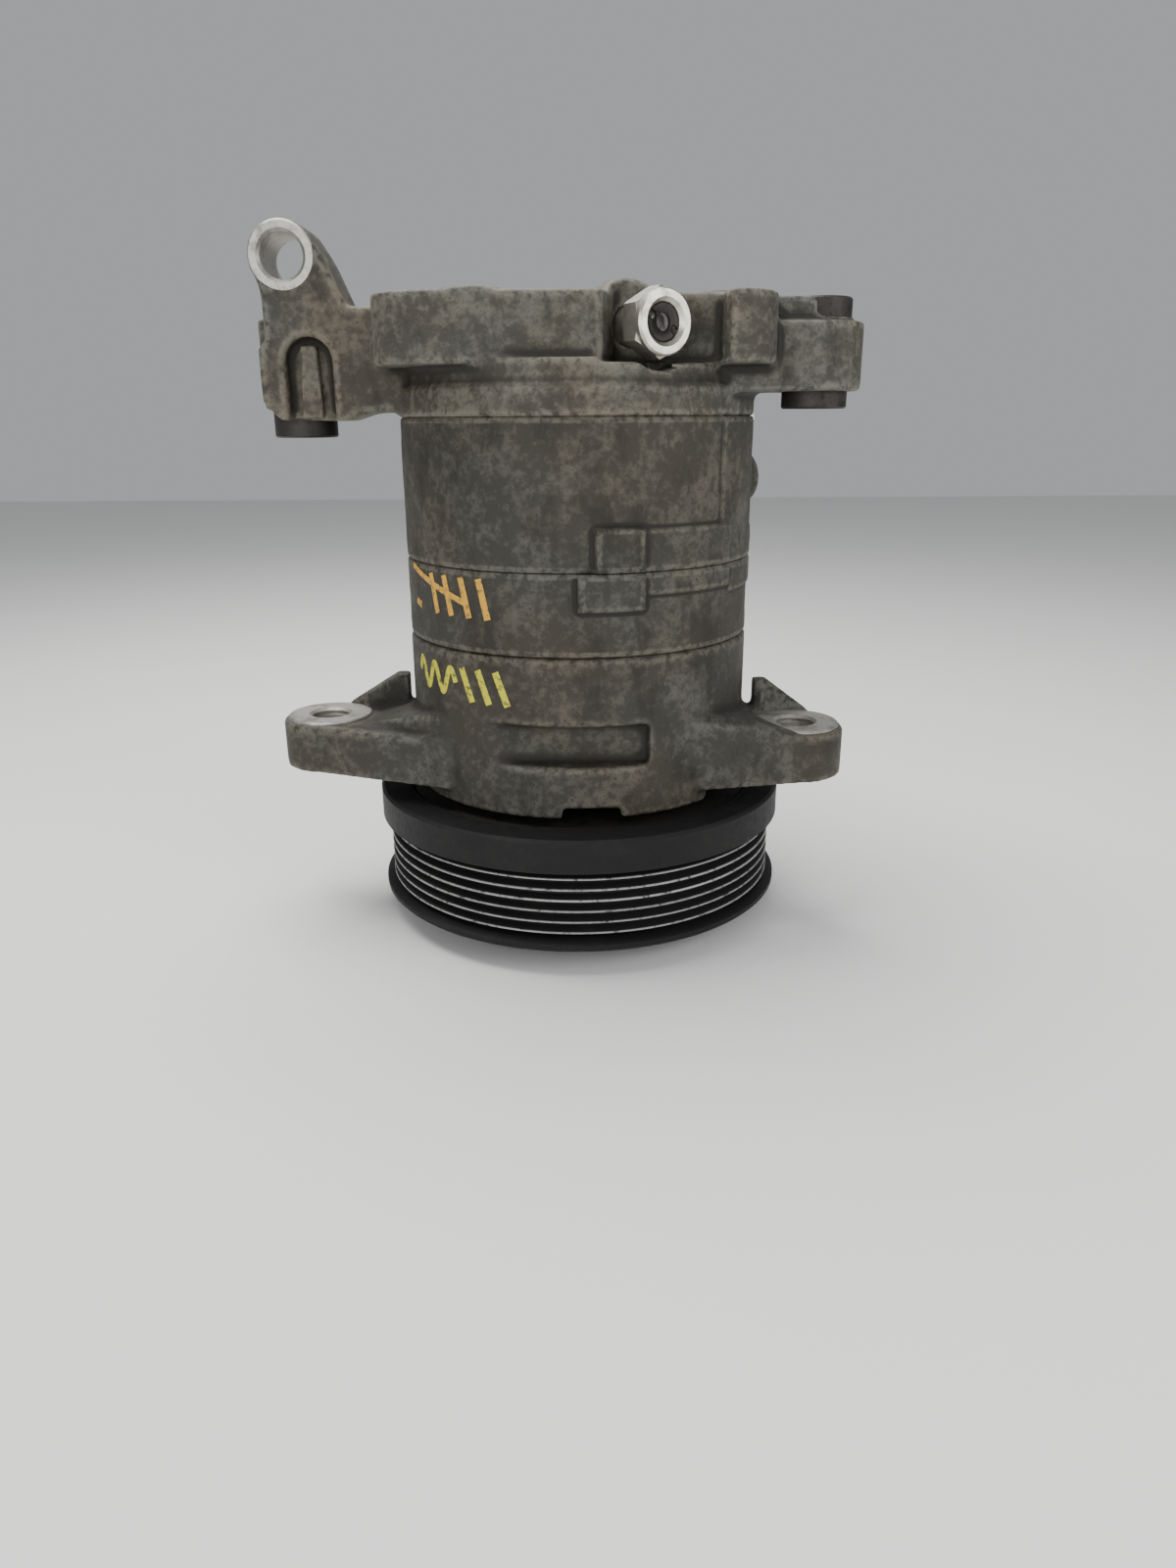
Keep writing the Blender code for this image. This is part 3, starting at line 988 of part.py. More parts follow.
def build_clutch(shaft_axis, pulley_axis):
    build_hub(shaft_axis)
    build_pulley(pulley_axis)
    ring_bottom = BEARING_BOTTOM - SNAP_RING_THICKNESS - GAP
    ring("nose_snap_ring", NOSE_RADIUS - SNAP_RING_REACH / 2 + GAP, NOSE_RADIUS + SNAP_RING_REACH,
         ring_bottom, ring_bottom + SNAP_RING_THICKNESS, steel, RING_STEPS)
    turned("clutch_coil_case", [
        (COIL_INNER, COIL_TOP), (COIL_INNER, COIL_BOTTOM), (COIL_INNER + COIL_WALL, COIL_BOTTOM),
        (COIL_INNER + COIL_WALL, COIL_TOP - COIL_WALL), (COIL_OUTER - COIL_WALL, COIL_TOP - COIL_WALL),
        (COIL_OUTER - COIL_WALL, COIL_BOTTOM), (COIL_OUTER, COIL_BOTTOM), (COIL_OUTER, COIL_TOP)],
        dark_steel, BODY_STEPS)
    ring("clutch_coil_winding", COIL_INNER + COIL_WALL + GAP, COIL_OUTER - COIL_WALL - GAP,
         COIL_BOTTOM + 1.0 * MM, COIL_TOP - COIL_WALL - GAP, winding, BODY_STEPS)


def leaf_angles():
    return [2 * math.pi * number / LEAF_COUNT + math.radians(100.0) for number in range(LEAF_COUNT)]


def build_hub(shaft_axis):
    """Hub, its bolt, the leaf springs and the armature plate that they carry."""
    snout = SHAFT_RADIUS - 1.0 * MM + GAP
    snout_bottom = HUB_BOLT_HEAD_HEIGHT + 3 * GAP
    hub = turned("clutch_hub", [
        (HUB_BOLT_HEAD_RADIUS + GAP, 0.0), (HUB_FLANGE_RADIUS, 0.0),
        (HUB_FLANGE_RADIUS, HUB_FLANGE_THICKNESS),
        (HUB_BOSS_RADIUS, HUB_FLANGE_THICKNESS), (HUB_BOSS_RADIUS, HUB_BOSS_LENGTH),
        (snout, HUB_BOSS_LENGTH), (snout, snout_bottom),
        (HUB_BOLT_RADIUS + GAP, snout_bottom), (HUB_BOLT_RADIUS + GAP, HUB_BOLT_HEAD_HEIGHT + GAP),
        (HUB_BOLT_HEAD_RADIUS + GAP, HUB_BOLT_HEAD_HEIGHT + GAP)], dark_steel, RING_STEPS)
    bolt = turned("hub_bolt", [
        (0.0, 0.0), (HUB_BOLT_HEAD_RADIUS, 0.0), (HUB_BOLT_HEAD_RADIUS, HUB_BOLT_HEAD_HEIGHT),
        (HUB_BOLT_RADIUS, HUB_BOLT_HEAD_HEIGHT), (HUB_BOLT_RADIUS, HUB_BOLT_LENGTH),
        (0.0, HUB_BOLT_LENGTH)], steel, RING_STEPS)
    armature = ring("armature_plate", ARMATURE_BORE_RADIUS, ARMATURE_RADIUS, ARMATURE_BOTTOM,
                    ARMATURE_BOTTOM + ARMATURE_THICKNESS, dark_steel, BODY_STEPS)
    hub_rivet_circle = HUB_FLANGE_RADIUS - RIVET_HEAD_RADIUS - 1.0 * MM
    plate_rivet_circle = (ARMATURE_BORE_RADIUS + ARMATURE_RADIUS) / 2
    children = [hub, bolt, armature]
    hub_rivet_low = 0.1 * MM
    hub_rivet_top = LEAF_BOTTOM + LEAF_THICKNESS + 2 * GAP
    plate_rivet_low = LEAF_BOTTOM - GAP - RIVET_HEAD_HEIGHT
    for number, angle in enumerate(leaf_angles()):
        label = str(number + 1)
        inner = Vector((math.cos(angle), math.sin(angle))) * hub_rivet_circle
        outer = Vector((math.cos(angle + LEAF_SWEEP), math.sin(angle + LEAF_SWEEP))) * plate_rivet_circle
        leaf = prism("leaf_spring_" + label, strip_outline(inner, outer, LEAF_WIDTH / 2), LEAF_BOTTOM,
                     LEAF_BOTTOM + LEAF_THICKNESS, steel)
        hole = RIVET_RADIUS + GAP
        tools = [rod("leaf_inner_hole_" + label, hole, 0.0, ARMATURE_BOTTOM, None, BOLT_STEPS, inner),
                 rod("leaf_outer_hole_" + label, hole, 0.0, ARMATURE_BOTTOM, None, BOLT_STEPS, outer),
                 rod("hub_rivet_hole_" + label, hole, -OVERRUN, LEAF_BOTTOM, None, BOLT_STEPS, inner),
                 rod("hub_rivet_sink_" + label, RIVET_HEAD_RADIUS + GAP, -OVERRUN, RIVET_HEAD_HEIGHT,
                     None, HOLE_STEPS, inner),
                 rod("plate_rivet_hole_" + label, hole, 0.0, PULLEY_BOTTOM, None, BOLT_STEPS, outer)]
        cut(leaf, tools[0], tools[1])
        cut(hub, tools[2], tools[3])
        cut(armature, tools[4])
        hub_rivet = turned("hub_rivet_" + label, [
            (0.0, hub_rivet_low), (RIVET_HEAD_RADIUS, hub_rivet_low),
            (RIVET_HEAD_RADIUS, RIVET_HEAD_HEIGHT - GAP), (RIVET_RADIUS, RIVET_HEAD_HEIGHT - GAP),
            (RIVET_RADIUS, hub_rivet_top), (0.0, hub_rivet_top)], steel, BOLT_STEPS, inner)
        plate_rivet = turned("armature_rivet_" + label, [
            (0.0, plate_rivet_low), (RIVET_HEAD_RADIUS, plate_rivet_low),
            (RIVET_HEAD_RADIUS, LEAF_BOTTOM - GAP), (RIVET_RADIUS, LEAF_BOTTOM - GAP),
            (RIVET_RADIUS, ARMATURE_BOTTOM + ARMATURE_THICKNESS - GAP),
            (0.0, ARMATURE_BOTTOM + ARMATURE_THICKNESS - GAP)], steel, BOLT_STEPS, outer)
        children += [leaf, hub_rivet, plate_rivet, *tools]
    carry(shaft_axis, *children)


def strip_outline(start, end, half):
    """A straight strip with round ends about two centres."""
    heading = math.atan2(end[1] - start[1], end[0] - start[0])
    quarter = math.pi / 2
    return (arc(end, half, heading - quarter, heading + quarter, 8)
            + arc(start, half, heading + quarter, heading + 3 * quarter, 8))


def groove_profile():
    """Outer side of the pulley rim: two flanges and the V grooves between them."""
    valley = RIDGE_RADIUS - GROOVE_DEPTH
    start = PULLEY_BOTTOM + LOWER_FLANGE_WIDTH
    flat = GROOVE_PITCH * 0.10
    points = [(PULLEY_FLANGE_RADIUS, PULLEY_BOTTOM), (PULLEY_FLANGE_RADIUS, start - 1.0 * MM)]
    for number in range(GROOVE_COUNT):
        middle = start + (number + 0.5) * GROOVE_PITCH
        points += [(valley, middle - flat), (valley, middle + flat)]
        if number < GROOVE_COUNT - 1:
            points.append((RIDGE_RADIUS, middle + GROOVE_PITCH / 2))
    end = start + GROOVE_COUNT * GROOVE_PITCH
    points += [(PULLEY_FLANGE_RADIUS, end + 1.2 * MM), (PULLEY_FLANGE_RADIUS, PULLEY_TOP)]
    return points


def build_pulley(pulley_axis):
    inside = COIL_OUTER + 4 * GAP
    outside = PULLEY_BORE + PULLEY_HUB_WALL
    disc_top = PULLEY_BOTTOM + FRICTION_DISC_THICKNESS
    bearing_top = BEARING_BOTTOM + BEARING_WIDTH
    lip = PULLEY_BORE - 1.6 * MM
    bearing_floor = BEARING_BOTTOM - GAP
    profile = [(lip, PULLEY_BOTTOM)] + groove_profile() + [
        (inside, PULLEY_TOP), (inside, disc_top), (outside, disc_top), (outside, bearing_top + 2.0 * MM),
        (PULLEY_BORE, bearing_top + 2.0 * MM), (PULLEY_BORE, bearing_floor), (lip, bearing_floor)]
    pulley = turned("pulley", profile, black_paint, BODY_STEPS)
    outer = PULLEY_BORE - GAP
    inner_race, outer_race, cage, balls = build_bearing(
        "pulley_bearing", "pulley_bearing_cage", NOSE_RADIUS + GAP, outer, BEARING_BOTTOM, bearing_top)
    carry(pulley_axis, pulley, outer_race, cage, *balls)
    return inner_race


def build_front_seal_parts():
    ring("shaft_seal", SHAFT_RADIUS + GAP, NOSE_BORE_RADIUS - GAP, SEAL_BOTTOM, SEAL_BOTTOM + SEAL_LENGTH,
         sealing, RING_STEPS)
    bearing_bottom = SHAFT_STEP - 2.0 * MM - FRONT_BEARING_LENGTH
    ring("front_bearing", SHAFT_RADIUS + GAP, SHAFT_RADIUS + GAP + FRONT_BEARING_WALL, bearing_bottom,
         bearing_bottom + FRONT_BEARING_LENGTH, steel, RING_STEPS)


def build_main_bearing(shaft_axis):
    inner_race, outer_race, cage, balls = build_bearing(
        "main_bearing", "main_bearing_cage", JOURNAL_RADIUS + GAP, MAIN_BEARING_OUTER,
        MAIN_BEARING_BOTTOM, MAIN_BEARING_TOP)
    carry(shaft_axis, inner_race, cage, *balls)
    return outer_race


def main():
    clear_scene()
    shaft_axis = empty("shaft_axis")
    pulley_axis = empty("pulley_axis")
    pin_axis = empty("crank_pin_axis", (ORBIT_RADIUS, 0.0, 0.0), shaft_axis)
    build_front_head()
    build_centre_housing()
    build_seam_rings()
    build_thrust_parts()
    build_fixed_scroll()
    build_service_plug()
    build_rear_head()
    build_relief_valve()
    build_reed_set()
    build_through_bolts()
    build_bushes()
    build_front_seal_parts()
    build_main_bearing(shaft_axis)
    build_shaft(shaft_axis, pin_axis)
    build_eccentric_bush(pin_axis)
    build_orbiting_scroll(pin_axis)
    build_clutch(shaft_axis, pulley_axis)


main()
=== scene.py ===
import bpy
import bmesh
import json
import math
import numpy as np
from mathutils import Matrix, Vector, noise as field


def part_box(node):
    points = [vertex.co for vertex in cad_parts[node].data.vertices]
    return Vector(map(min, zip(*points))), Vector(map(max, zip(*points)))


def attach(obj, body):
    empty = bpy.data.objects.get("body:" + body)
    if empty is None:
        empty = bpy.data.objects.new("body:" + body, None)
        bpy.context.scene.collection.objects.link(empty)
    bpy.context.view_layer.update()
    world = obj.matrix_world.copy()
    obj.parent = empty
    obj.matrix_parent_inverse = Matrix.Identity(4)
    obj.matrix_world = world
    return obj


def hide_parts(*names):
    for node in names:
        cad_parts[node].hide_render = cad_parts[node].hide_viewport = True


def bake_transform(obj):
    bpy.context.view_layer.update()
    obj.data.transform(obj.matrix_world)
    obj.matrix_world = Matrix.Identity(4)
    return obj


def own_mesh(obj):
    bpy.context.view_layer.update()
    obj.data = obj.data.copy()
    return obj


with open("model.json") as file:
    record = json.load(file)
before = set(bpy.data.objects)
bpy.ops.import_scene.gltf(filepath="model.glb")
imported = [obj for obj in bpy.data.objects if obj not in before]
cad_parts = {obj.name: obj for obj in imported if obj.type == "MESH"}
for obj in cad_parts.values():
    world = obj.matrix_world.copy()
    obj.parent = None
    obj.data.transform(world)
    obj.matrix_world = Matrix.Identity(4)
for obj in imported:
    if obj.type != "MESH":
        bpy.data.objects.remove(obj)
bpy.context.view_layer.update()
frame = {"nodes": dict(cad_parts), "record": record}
nodes = frame["nodes"]
mm = 0.001
print("frame loaded:", len(nodes), "nodes")


# mesh tools, sizes in millimetres

def toObject(name, mesh, smoothAngle=34.0):
    bmesh.ops.recalc_face_normals(mesh, faces=mesh.faces)
    data = bpy.data.meshes.new(name)
    mesh.to_mesh(data)
    mesh.free()
    data.transform(Matrix.Scale(mm, 4))
    data.shade_smooth()
    data.set_sharp_from_angle(angle=math.radians(smoothAngle))
    made = bpy.data.objects.new(name, data)
    bpy.context.collection.objects.link(made)
    return made


def lathe(name, profile, steps=96, centre=(0.0, 0.0)):
    # closed (radius, height) outline turned about Z
    mesh = bmesh.new()
    rings = []
    for radius, height in profile:
        if radius < 1e-6:
            rings.append([mesh.verts.new((centre[0], centre[1], height))])
            continue
        loop = []
        for step in range(steps):
            angle = 2 * math.pi * step / steps
            loop.append(mesh.verts.new((centre[0] + radius * math.cos(angle),
                                        centre[1] + radius * math.sin(angle), height)))
        rings.append(loop)
    for low, high in zip(rings, rings[1:] + rings[:1]):
        if len(low) == 1 and len(high) == 1:
            continue
        for step in range(steps):
            after = (step + 1) % steps
            corners = [low[step % len(low)], low[after % len(low)],
                       high[after % len(high)], high[step % len(high)]]
            corners = list(dict.fromkeys(corners))
            if len(corners) > 2:
                mesh.faces.new(corners)
    return toObject(name, mesh)


def prismUp(name, outline, low, high):
    mesh = bmesh.new()
    bottom = [mesh.verts.new((x, y, low)) for x, y in outline]
    top = [mesh.verts.new((x, y, high)) for x, y in outline]
    mesh.faces.new(bottom[::-1])
    mesh.faces.new(top)
    for i in range(len(outline)):
        j = (i + 1) % len(outline)
        mesh.faces.new((bottom[i], bottom[j], top[j], top[i]))
    return toObject(name, mesh)


def prismBack(name, outline, front, back):
    # outline in X and Z, pushed along Y
    made = prismUp(name, [(x, -z) for x, z in outline], front, back)
    made.data.transform(Matrix.Rotation(math.radians(-90.0), 4, "X"))
    return made


def blockOf(name, low, high):
    outline = [(low[0], low[1]), (high[0], low[1]), (high[0], high[1]), (low[0], high[1])]
    return prismUp(name, outline, low[2], high[2])


def rod(name, radius, low, high, centre=(0.0, 0.0), steps=64):
    return lathe(name, [(0.0, low), (radius, low), (radius, high), (0.0, high)], steps, centre)


def arcPoints(centre, radius, start, end, steps=14):
    points = []
    for step in range(steps + 1):
        angle = math.radians(start + (end - start) * step / steps)
        points.append((centre[0] + radius * math.cos(angle), centre[1] + radius * math.sin(angle)))
    return points


def roundedBox(low, high, corner, steps=6):
    points = []
    corners = ((high[0] - corner, high[1] - corner, 0), (low[0] + corner, high[1] - corner, 90),
               (low[0] + corner, low[1] + corner, 180), (high[0] - corner, low[1] + corner, 270))
    for x, y, turn in corners:
        points += arcPoints((x, y), corner, turn, turn + 90, steps)
    return points


def bake(piece):
    # modifiers into a plain mesh
    depsgraph = bpy.context.evaluated_depsgraph_get()
    data = bpy.data.meshes.new_from_object(piece.evaluated_get(depsgraph))
    piece.modifiers.clear()
    piece.data = data
    return piece


def drop(*pieces):
    for piece in pieces:
        bpy.data.objects.remove(piece, do_unlink=True)


def merge(name, parts):
    # several closed bodies into one object, material slots kept
    mesh = bmesh.new()
    slots = []
    for part in parts:
        shift = {}
        for number, slotMaterial in enumerate(part.data.materials):
            if slotMaterial not in slots:
                slots.append(slotMaterial)
            shift[number] = slots.index(slotMaterial)
        before = len(mesh.faces)
        mesh.from_mesh(part.data)
        mesh.faces.ensure_lookup_table()
        for face in mesh.faces[before:]:
            face.material_index = shift.get(face.material_index, 0)
    data = bpy.data.meshes.new(name)
    mesh.to_mesh(data)
    mesh.free()
    for slotMaterial in slots:
        data.materials.append(slotMaterial)
    made = bpy.data.objects.new(name, data)
    bpy.context.collection.objects.link(made)
    drop(*parts)
    return made


def carve(piece, tools, kind="DIFFERENCE"):
    for tool in tools:
        change = piece.modifiers.new(tool.name, "BOOLEAN")
        change.object = tool
        change.operation = kind
        change.solver = "MANIFOLD"
    bake(piece)
    drop(*tools)
    return piece


def castForm(name, parts, voxel, smooth, tools=(), keep=1.0):
    # overlapping parts become one body with the soft edges of a casting
    made = merge(name, parts)
    for stage in ("before", "after"):
        remesh = made.modifiers.new(stage, "REMESH")
        remesh.mode = "VOXEL"
        remesh.voxel_size = voxel * mm
        bake(made)
        if stage == "before" and tools:
            carve(made, list(tools))
        elif stage == "before":
            break
    soft = made.modifiers.new("soft", "SMOOTH")
    soft.factor = 0.5
    soft.iterations = smooth
    if keep < 1.0:
        fewer = made.modifiers.new("fewer", "DECIMATE")
        fewer.ratio = keep
    bake(made)
    made.data.shade_smooth()
    return made


def coreOf(node, radius, low, high):
    # the inner part of a CAD node, for the inside of a new casting
    mesh = bmesh.new()
    mesh.from_mesh(nodes[node].data)
    bmesh.ops.remove_doubles(mesh, verts=mesh.verts, dist=1e-6)
    data = bpy.data.meshes.new(node + "Core")
    mesh.to_mesh(data)
    mesh.free()
    core = bpy.data.objects.new(node + "Core", data)
    bpy.context.collection.objects.link(core)
    carve(core, [rod(node + "Room", radius, low, high, steps=96)], "INTERSECT")
    core.data.shade_smooth()
    core.data.set_sharp_from_angle(angle=math.radians(30.0))
    return core


def edgeTone(piece, passes=3):
    # stores how far each point stands out: worn edges above 0.5, corners below, darkened as dirt and painted
    # shade
    data = piece.data
    count = len(data.vertices)
    place = np.empty(count * 3)
    data.vertices.foreach_get("co", place)
    place = place.reshape(-1, 3)
    normal = np.empty(count * 3)
    data.vertices.foreach_get("normal", normal)
    normal = normal.reshape(-1, 3)
    ends = np.empty(len(data.edges) * 2, dtype=np.int32)
    data.edges.foreach_get("vertices", ends)
    ends = ends.reshape(-1, 2)
    links = np.maximum(np.bincount(ends.ravel(), minlength=count), 1)

    def around(values):
        total = np.zeros_like(values)
        np.add.at(total, ends[:, 0], values[ends[:, 1]])
        np.add.at(total, ends[:, 1], values[ends[:, 0]])
        return total / (links[:, None] if values.ndim > 1 else links)

    lift = -((around(place) - place) * normal).sum(1) / mm
    for _ in range(passes):
        lift = 0.4 * lift + 0.6 * around(lift)
    tone = np.clip(0.5 + lift * piece.get("toneGain", 7.0), 0.0, 1.0)
    layer = data.attributes.get("edge") or data.attributes.new("edge", "FLOAT", "POINT")
    layer.data.foreach_set("value", tone.astype(np.float32))
    return piece


# material tools

def newMaterial(name):
    made = bpy.data.materials.new(name)
    made.use_nodes = True
    tree = made.node_tree
    return made, tree, tree.nodes["Principled BSDF"], tree.nodes.new("ShaderNodeTexCoord").outputs["Object"]


def noise(tree, vector, scale, detail=4.0, rough=0.6, stretch=None):
    if stretch:
        mapping = tree.nodes.new("ShaderNodeMapping")
        mapping.inputs["Scale"].default_value = stretch
        tree.links.new(vector, mapping.inputs["Vector"])
        vector = mapping.outputs["Vector"]
    node = tree.nodes.new("ShaderNodeTexNoise")
    node.inputs["Scale"].default_value = scale
    node.inputs["Detail"].default_value = detail
    node.inputs["Roughness"].default_value = rough
    tree.links.new(vector, node.inputs["Vector"])
    return node.outputs["Fac"]


def ramp(tree, value, low, high):
    # 0 at low, 1 at high
    node = tree.nodes.new("ShaderNodeMapRange")
    node.interpolation_type = "SMOOTHSTEP"
    node.inputs["From Min"].default_value = low
    node.inputs["From Max"].default_value = high
    tree.links.new(value, node.inputs["Value"])
    return node.outputs["Result"]


def calc(tree, kind, first, second=0.0, clamp=False):
    node = tree.nodes.new("ShaderNodeMath")
    node.operation = kind
    node.use_clamp = clamp
    for socket, value in zip(node.inputs, (first, second)):
        if isinstance(value, (int, float)):
            socket.default_value = value
        else:
            tree.links.new(value, socket)
    return node.outputs[0]


def mixColour(tree, share, first, second, kind="MIX"):
    node = tree.nodes.new("ShaderNodeMix")
    node.data_type = "RGBA"
    node.blend_type = kind
    sockets = [s for s in node.inputs if s.enabled]
    for socket, value in zip(sockets, (share, first, second)):
        if isinstance(value, (int, float)):
            socket.default_value = value
        elif isinstance(value, tuple):
            socket.default_value = (*value, 1.0)
        else:
            tree.links.new(value, socket)
    return [s for s in node.outputs if s.enabled][0]


def bumpy(tree, height, strength, distance, before=None):
    node = tree.nodes.new("ShaderNodeBump")
    node.inputs["Strength"].default_value = strength
    node.inputs["Distance"].default_value = distance
    tree.links.new(height, node.inputs["Height"])
    if before:
        tree.links.new(before, node.inputs["Normal"])
    return node.outputs["Normal"]


def attribute(tree, name):
    node = tree.nodes.new("ShaderNodeAttribute")
    node.attribute_name = name
    return node.outputs["Fac"]


def feed(tree, shader, **values):
    names = {"colour": "Base Color", "rough": "Roughness", "metal": "Metallic", "normal": "Normal",
             "coat": "Coat Weight", "coatRough": "Coat Roughness", "specular": "Specular IOR Level"}
    for key, value in values.items():
        socket = shader.inputs[names[key]]
        if isinstance(value, (int, float)):
            socket.default_value = value
        elif isinstance(value, tuple):
            socket.default_value = (*value, 1.0)
        else:
            tree.links.new(value, socket)


castLook = {
    "bare": (0.135, 0.129, 0.11),      # clean cast aluminium
    "dull": (0.048, 0.045, 0.038),      # oxidised skin
    "grimeAndShade": (0.017, 0.015, 0.012),    # oily dirt, also the colour of the painted shade in corners
    "patchSize": 58.0,
    "speckSize": 400.0,
    "grainSize": 1500.0,
    "wear": 0.75,                      # bright metal on edges
    "dirt": 0.95,                      # dirt and painted occlusion shade in corners
}


def castMaterial(name, look, bright=1.0, dirtLevel=0.0):
    made, tree, shader, place = newMaterial(name)
    patches = noise(tree, place, look["patchSize"], 7.0, 0.68)
    smears = noise(tree, place, look["patchSize"] * 1.6, 5.0, 0.6, (1.0, 1.0, 0.45))
    specks = noise(tree, place, look["speckSize"], 5.0, 0.7)
    grain = noise(tree, place, look["grainSize"], 3.0, 0.6)
    edge = attribute(tree, "edge")
    worn = ramp(tree, edge, 0.56, 0.85)
    # painted shade: hollow corners darkened as dirt and as a stand-in for occlusion shade
    cornerDirtAndShade = ramp(tree, edge, 0.46, 0.2)
    mottled = calc(tree, "ADD", calc(tree, "MULTIPLY", patches, 0.48), calc(tree, "MULTIPLY", specks, 0.52))
    bareShare = ramp(tree, mottled, 0.44 + dirtLevel, 0.64 + dirtLevel)
    colour = mixColour(tree, bareShare, tuple(c * bright for c in look["dull"]),
                       tuple(c * bright for c in look["bare"]))
    grimeShare = calc(tree, "MULTIPLY", ramp(tree, smears, 0.5 - dirtLevel, 0.68 - dirtLevel), 0.62)
    colour = mixColour(tree, grimeShare, colour, look["grimeAndShade"])
    spots = ramp(tree, calc(tree, "ADD", specks, calc(tree, "MULTIPLY", patches, 0.35)), 0.79, 0.9)
    colour = mixColour(tree, calc(tree, "MULTIPLY", spots, 0.85), colour, look["grimeAndShade"])
    scuffs = calc(tree, "MULTIPLY", ramp(tree, specks, 0.35, 0.6), look["wear"])
    wornShare = calc(tree, "MULTIPLY", worn, scuffs)
    colour = mixColour(tree, wornShare, colour, tuple(c * bright * 1.2 for c in look["bare"]))
    # corners take the dark colour: dirt and painted occlusion shade
    colour = mixColour(tree, calc(tree, "MULTIPLY", cornerDirtAndShade, look["dirt"]), colour, look["grimeAndShade"])
    warmth = ramp(tree, noise(tree, place, 22.0, 3.0), 0.4, 0.62)
    tint = mixColour(tree, warmth, (0.97, 1.0, 0.98), (1.07, 1.0, 0.88))
    colour = mixColour(tree, 1.0, colour, tint, "MULTIPLY")
    rough = calc(tree, "ADD", 0.5, calc(tree, "MULTIPLY", specks, 0.35))
    normal = bumpy(tree, grain, 0.35, 0.0003)
    normal = bumpy(tree, specks, 0.55, 0.0006, normal)
    normal = bumpy(tree, patches, 0.4, 0.0012, normal)
    feed(tree, shader, colour=colour, rough=rough, metal=0.25, normal=normal, specular=0.4)
    return made


def machinedMaterial(name, colour, rough=0.34, lines=2600.0, dirt=0.5):
    made, tree, shader, place = newMaterial(name)
    wide = noise(tree, place, 130.0, 5.0, 0.65)
    cuts = noise(tree, place, lines, 2.0, 0.5)
    fine = noise(tree, place, 620.0, 4.0, 0.65)
    stained = calc(tree, "MULTIPLY", ramp(tree, wide, 0.48, 0.68), dirt)
    shade = mixColour(tree, stained, colour, tuple(c * 0.22 for c in colour))
    shade = mixColour(tree, calc(tree, "MULTIPLY", ramp(tree, fine, 0.56, 0.72), 0.6), shade,
                      tuple(c * 0.4 for c in colour))
    feed(tree, shader, colour=shade, metal=0.85,
         rough=calc(tree, "ADD", rough, calc(tree, "MULTIPLY", fine, 0.3)),
         normal=bumpy(tree, fine, 0.2, 0.0003, bumpy(tree, cuts, 0.12, 0.0001)))
    return made


def paintMaterial(name, colour, wornColour, rough=0.42):
    made, tree, shader, place = newMaterial(name)
    dust = noise(tree, place, 70.0, 6.0, 0.66)
    chips = noise(tree, place, 420.0, 5.0, 0.7)
    fine = noise(tree, place, 1700.0, 3.0)
    worn = calc(tree, "MULTIPLY", attribute(tree, "edge"), 1.0)
    bare = calc(tree, "MULTIPLY", ramp(tree, worn, 0.62, 0.8), ramp(tree, chips, 0.3, 0.52))
    dusty = calc(tree, "MULTIPLY", ramp(tree, dust, 0.5, 0.72), 0.5)
    shade = mixColour(tree, dusty, colour, (0.02, 0.0175, 0.015))
    shade = mixColour(tree, bare, shade, wornColour)
    feed(tree, shader, colour=shade, metal=calc(tree, "MULTIPLY", bare, 0.9), specular=0.22,
         rough=calc(tree, "ADD", rough - 0.08, calc(tree, "MULTIPLY", chips, 0.3)),
         normal=bumpy(tree, chips, 0.22, 0.0004, bumpy(tree, fine, 0.15, 0.0001)))
    return made


def platedMaterial(name, colour, shade):
    made, tree, shader, place = newMaterial(name)
    blotch = noise(tree, place, 240.0, 5.0, 0.62)
    fine = noise(tree, place, 1400.0, 3.0)
    tone = mixColour(tree, ramp(tree, blotch, 0.45, 0.7), colour, shade)
    feed(tree, shader, colour=tone, metal=0.92,
         rough=calc(tree, "ADD", 0.2, calc(tree, "MULTIPLY", blotch, 0.25)),
         normal=bumpy(tree, fine, 0.14, 0.0002))
    return made


def rubberMaterial(name, colour, rough):
    made, tree, shader, place = newMaterial(name)
    dust = noise(tree, place, 180.0, 6.0, 0.7)
    fine = noise(tree, place, 1900.0, 3.0)
    dusty = tuple(min(1.0, c * 2.2 + 0.02) for c in colour)
    tone = mixColour(tree, ramp(tree, dust, 0.45, 0.72), colour, dusty)
    feed(tree, shader, colour=tone, rough=calc(tree, "ADD", rough - 0.1, calc(tree, "MULTIPLY", dust, 0.2)),
         normal=bumpy(tree, fine, 0.25, 0.0003))
    return made


castShell = castMaterial("castShell", castLook, 0.78, 0.015)
castHead = castMaterial("castHead", castLook, 1.0, -0.02)
machinedRing = machinedMaterial("machinedRing", (0.4, 0.385, 0.35), 0.34, dirt=0.6)
machinedInner = machinedMaterial("machinedInner", (0.42, 0.4, 0.37), 0.36)
brightSteel = machinedMaterial("brightSteel", (0.55, 0.54, 0.53), 0.24, dirt=0.3)
oiledSteel = machinedMaterial("oiledSteel", (0.05, 0.046, 0.042), 0.44, dirt=0.6)
blackPaint = paintMaterial("blackPaint", (0.0075, 0.0075, 0.008), (0.42, 0.41, 0.4), 0.52)
platedZinc = platedMaterial("platedZinc", (0.58, 0.56, 0.5), (0.38, 0.35, 0.28))
sealRubber = rubberMaterial("sealRubber", (0.02, 0.02, 0.021), 0.7)
coilResin = rubberMaterial("coilResin", (0.11, 0.06, 0.035), 0.55)
cagePolymer = rubberMaterial("cagePolymer", (0.26, 0.17, 0.09), 0.5)
print("materials made")

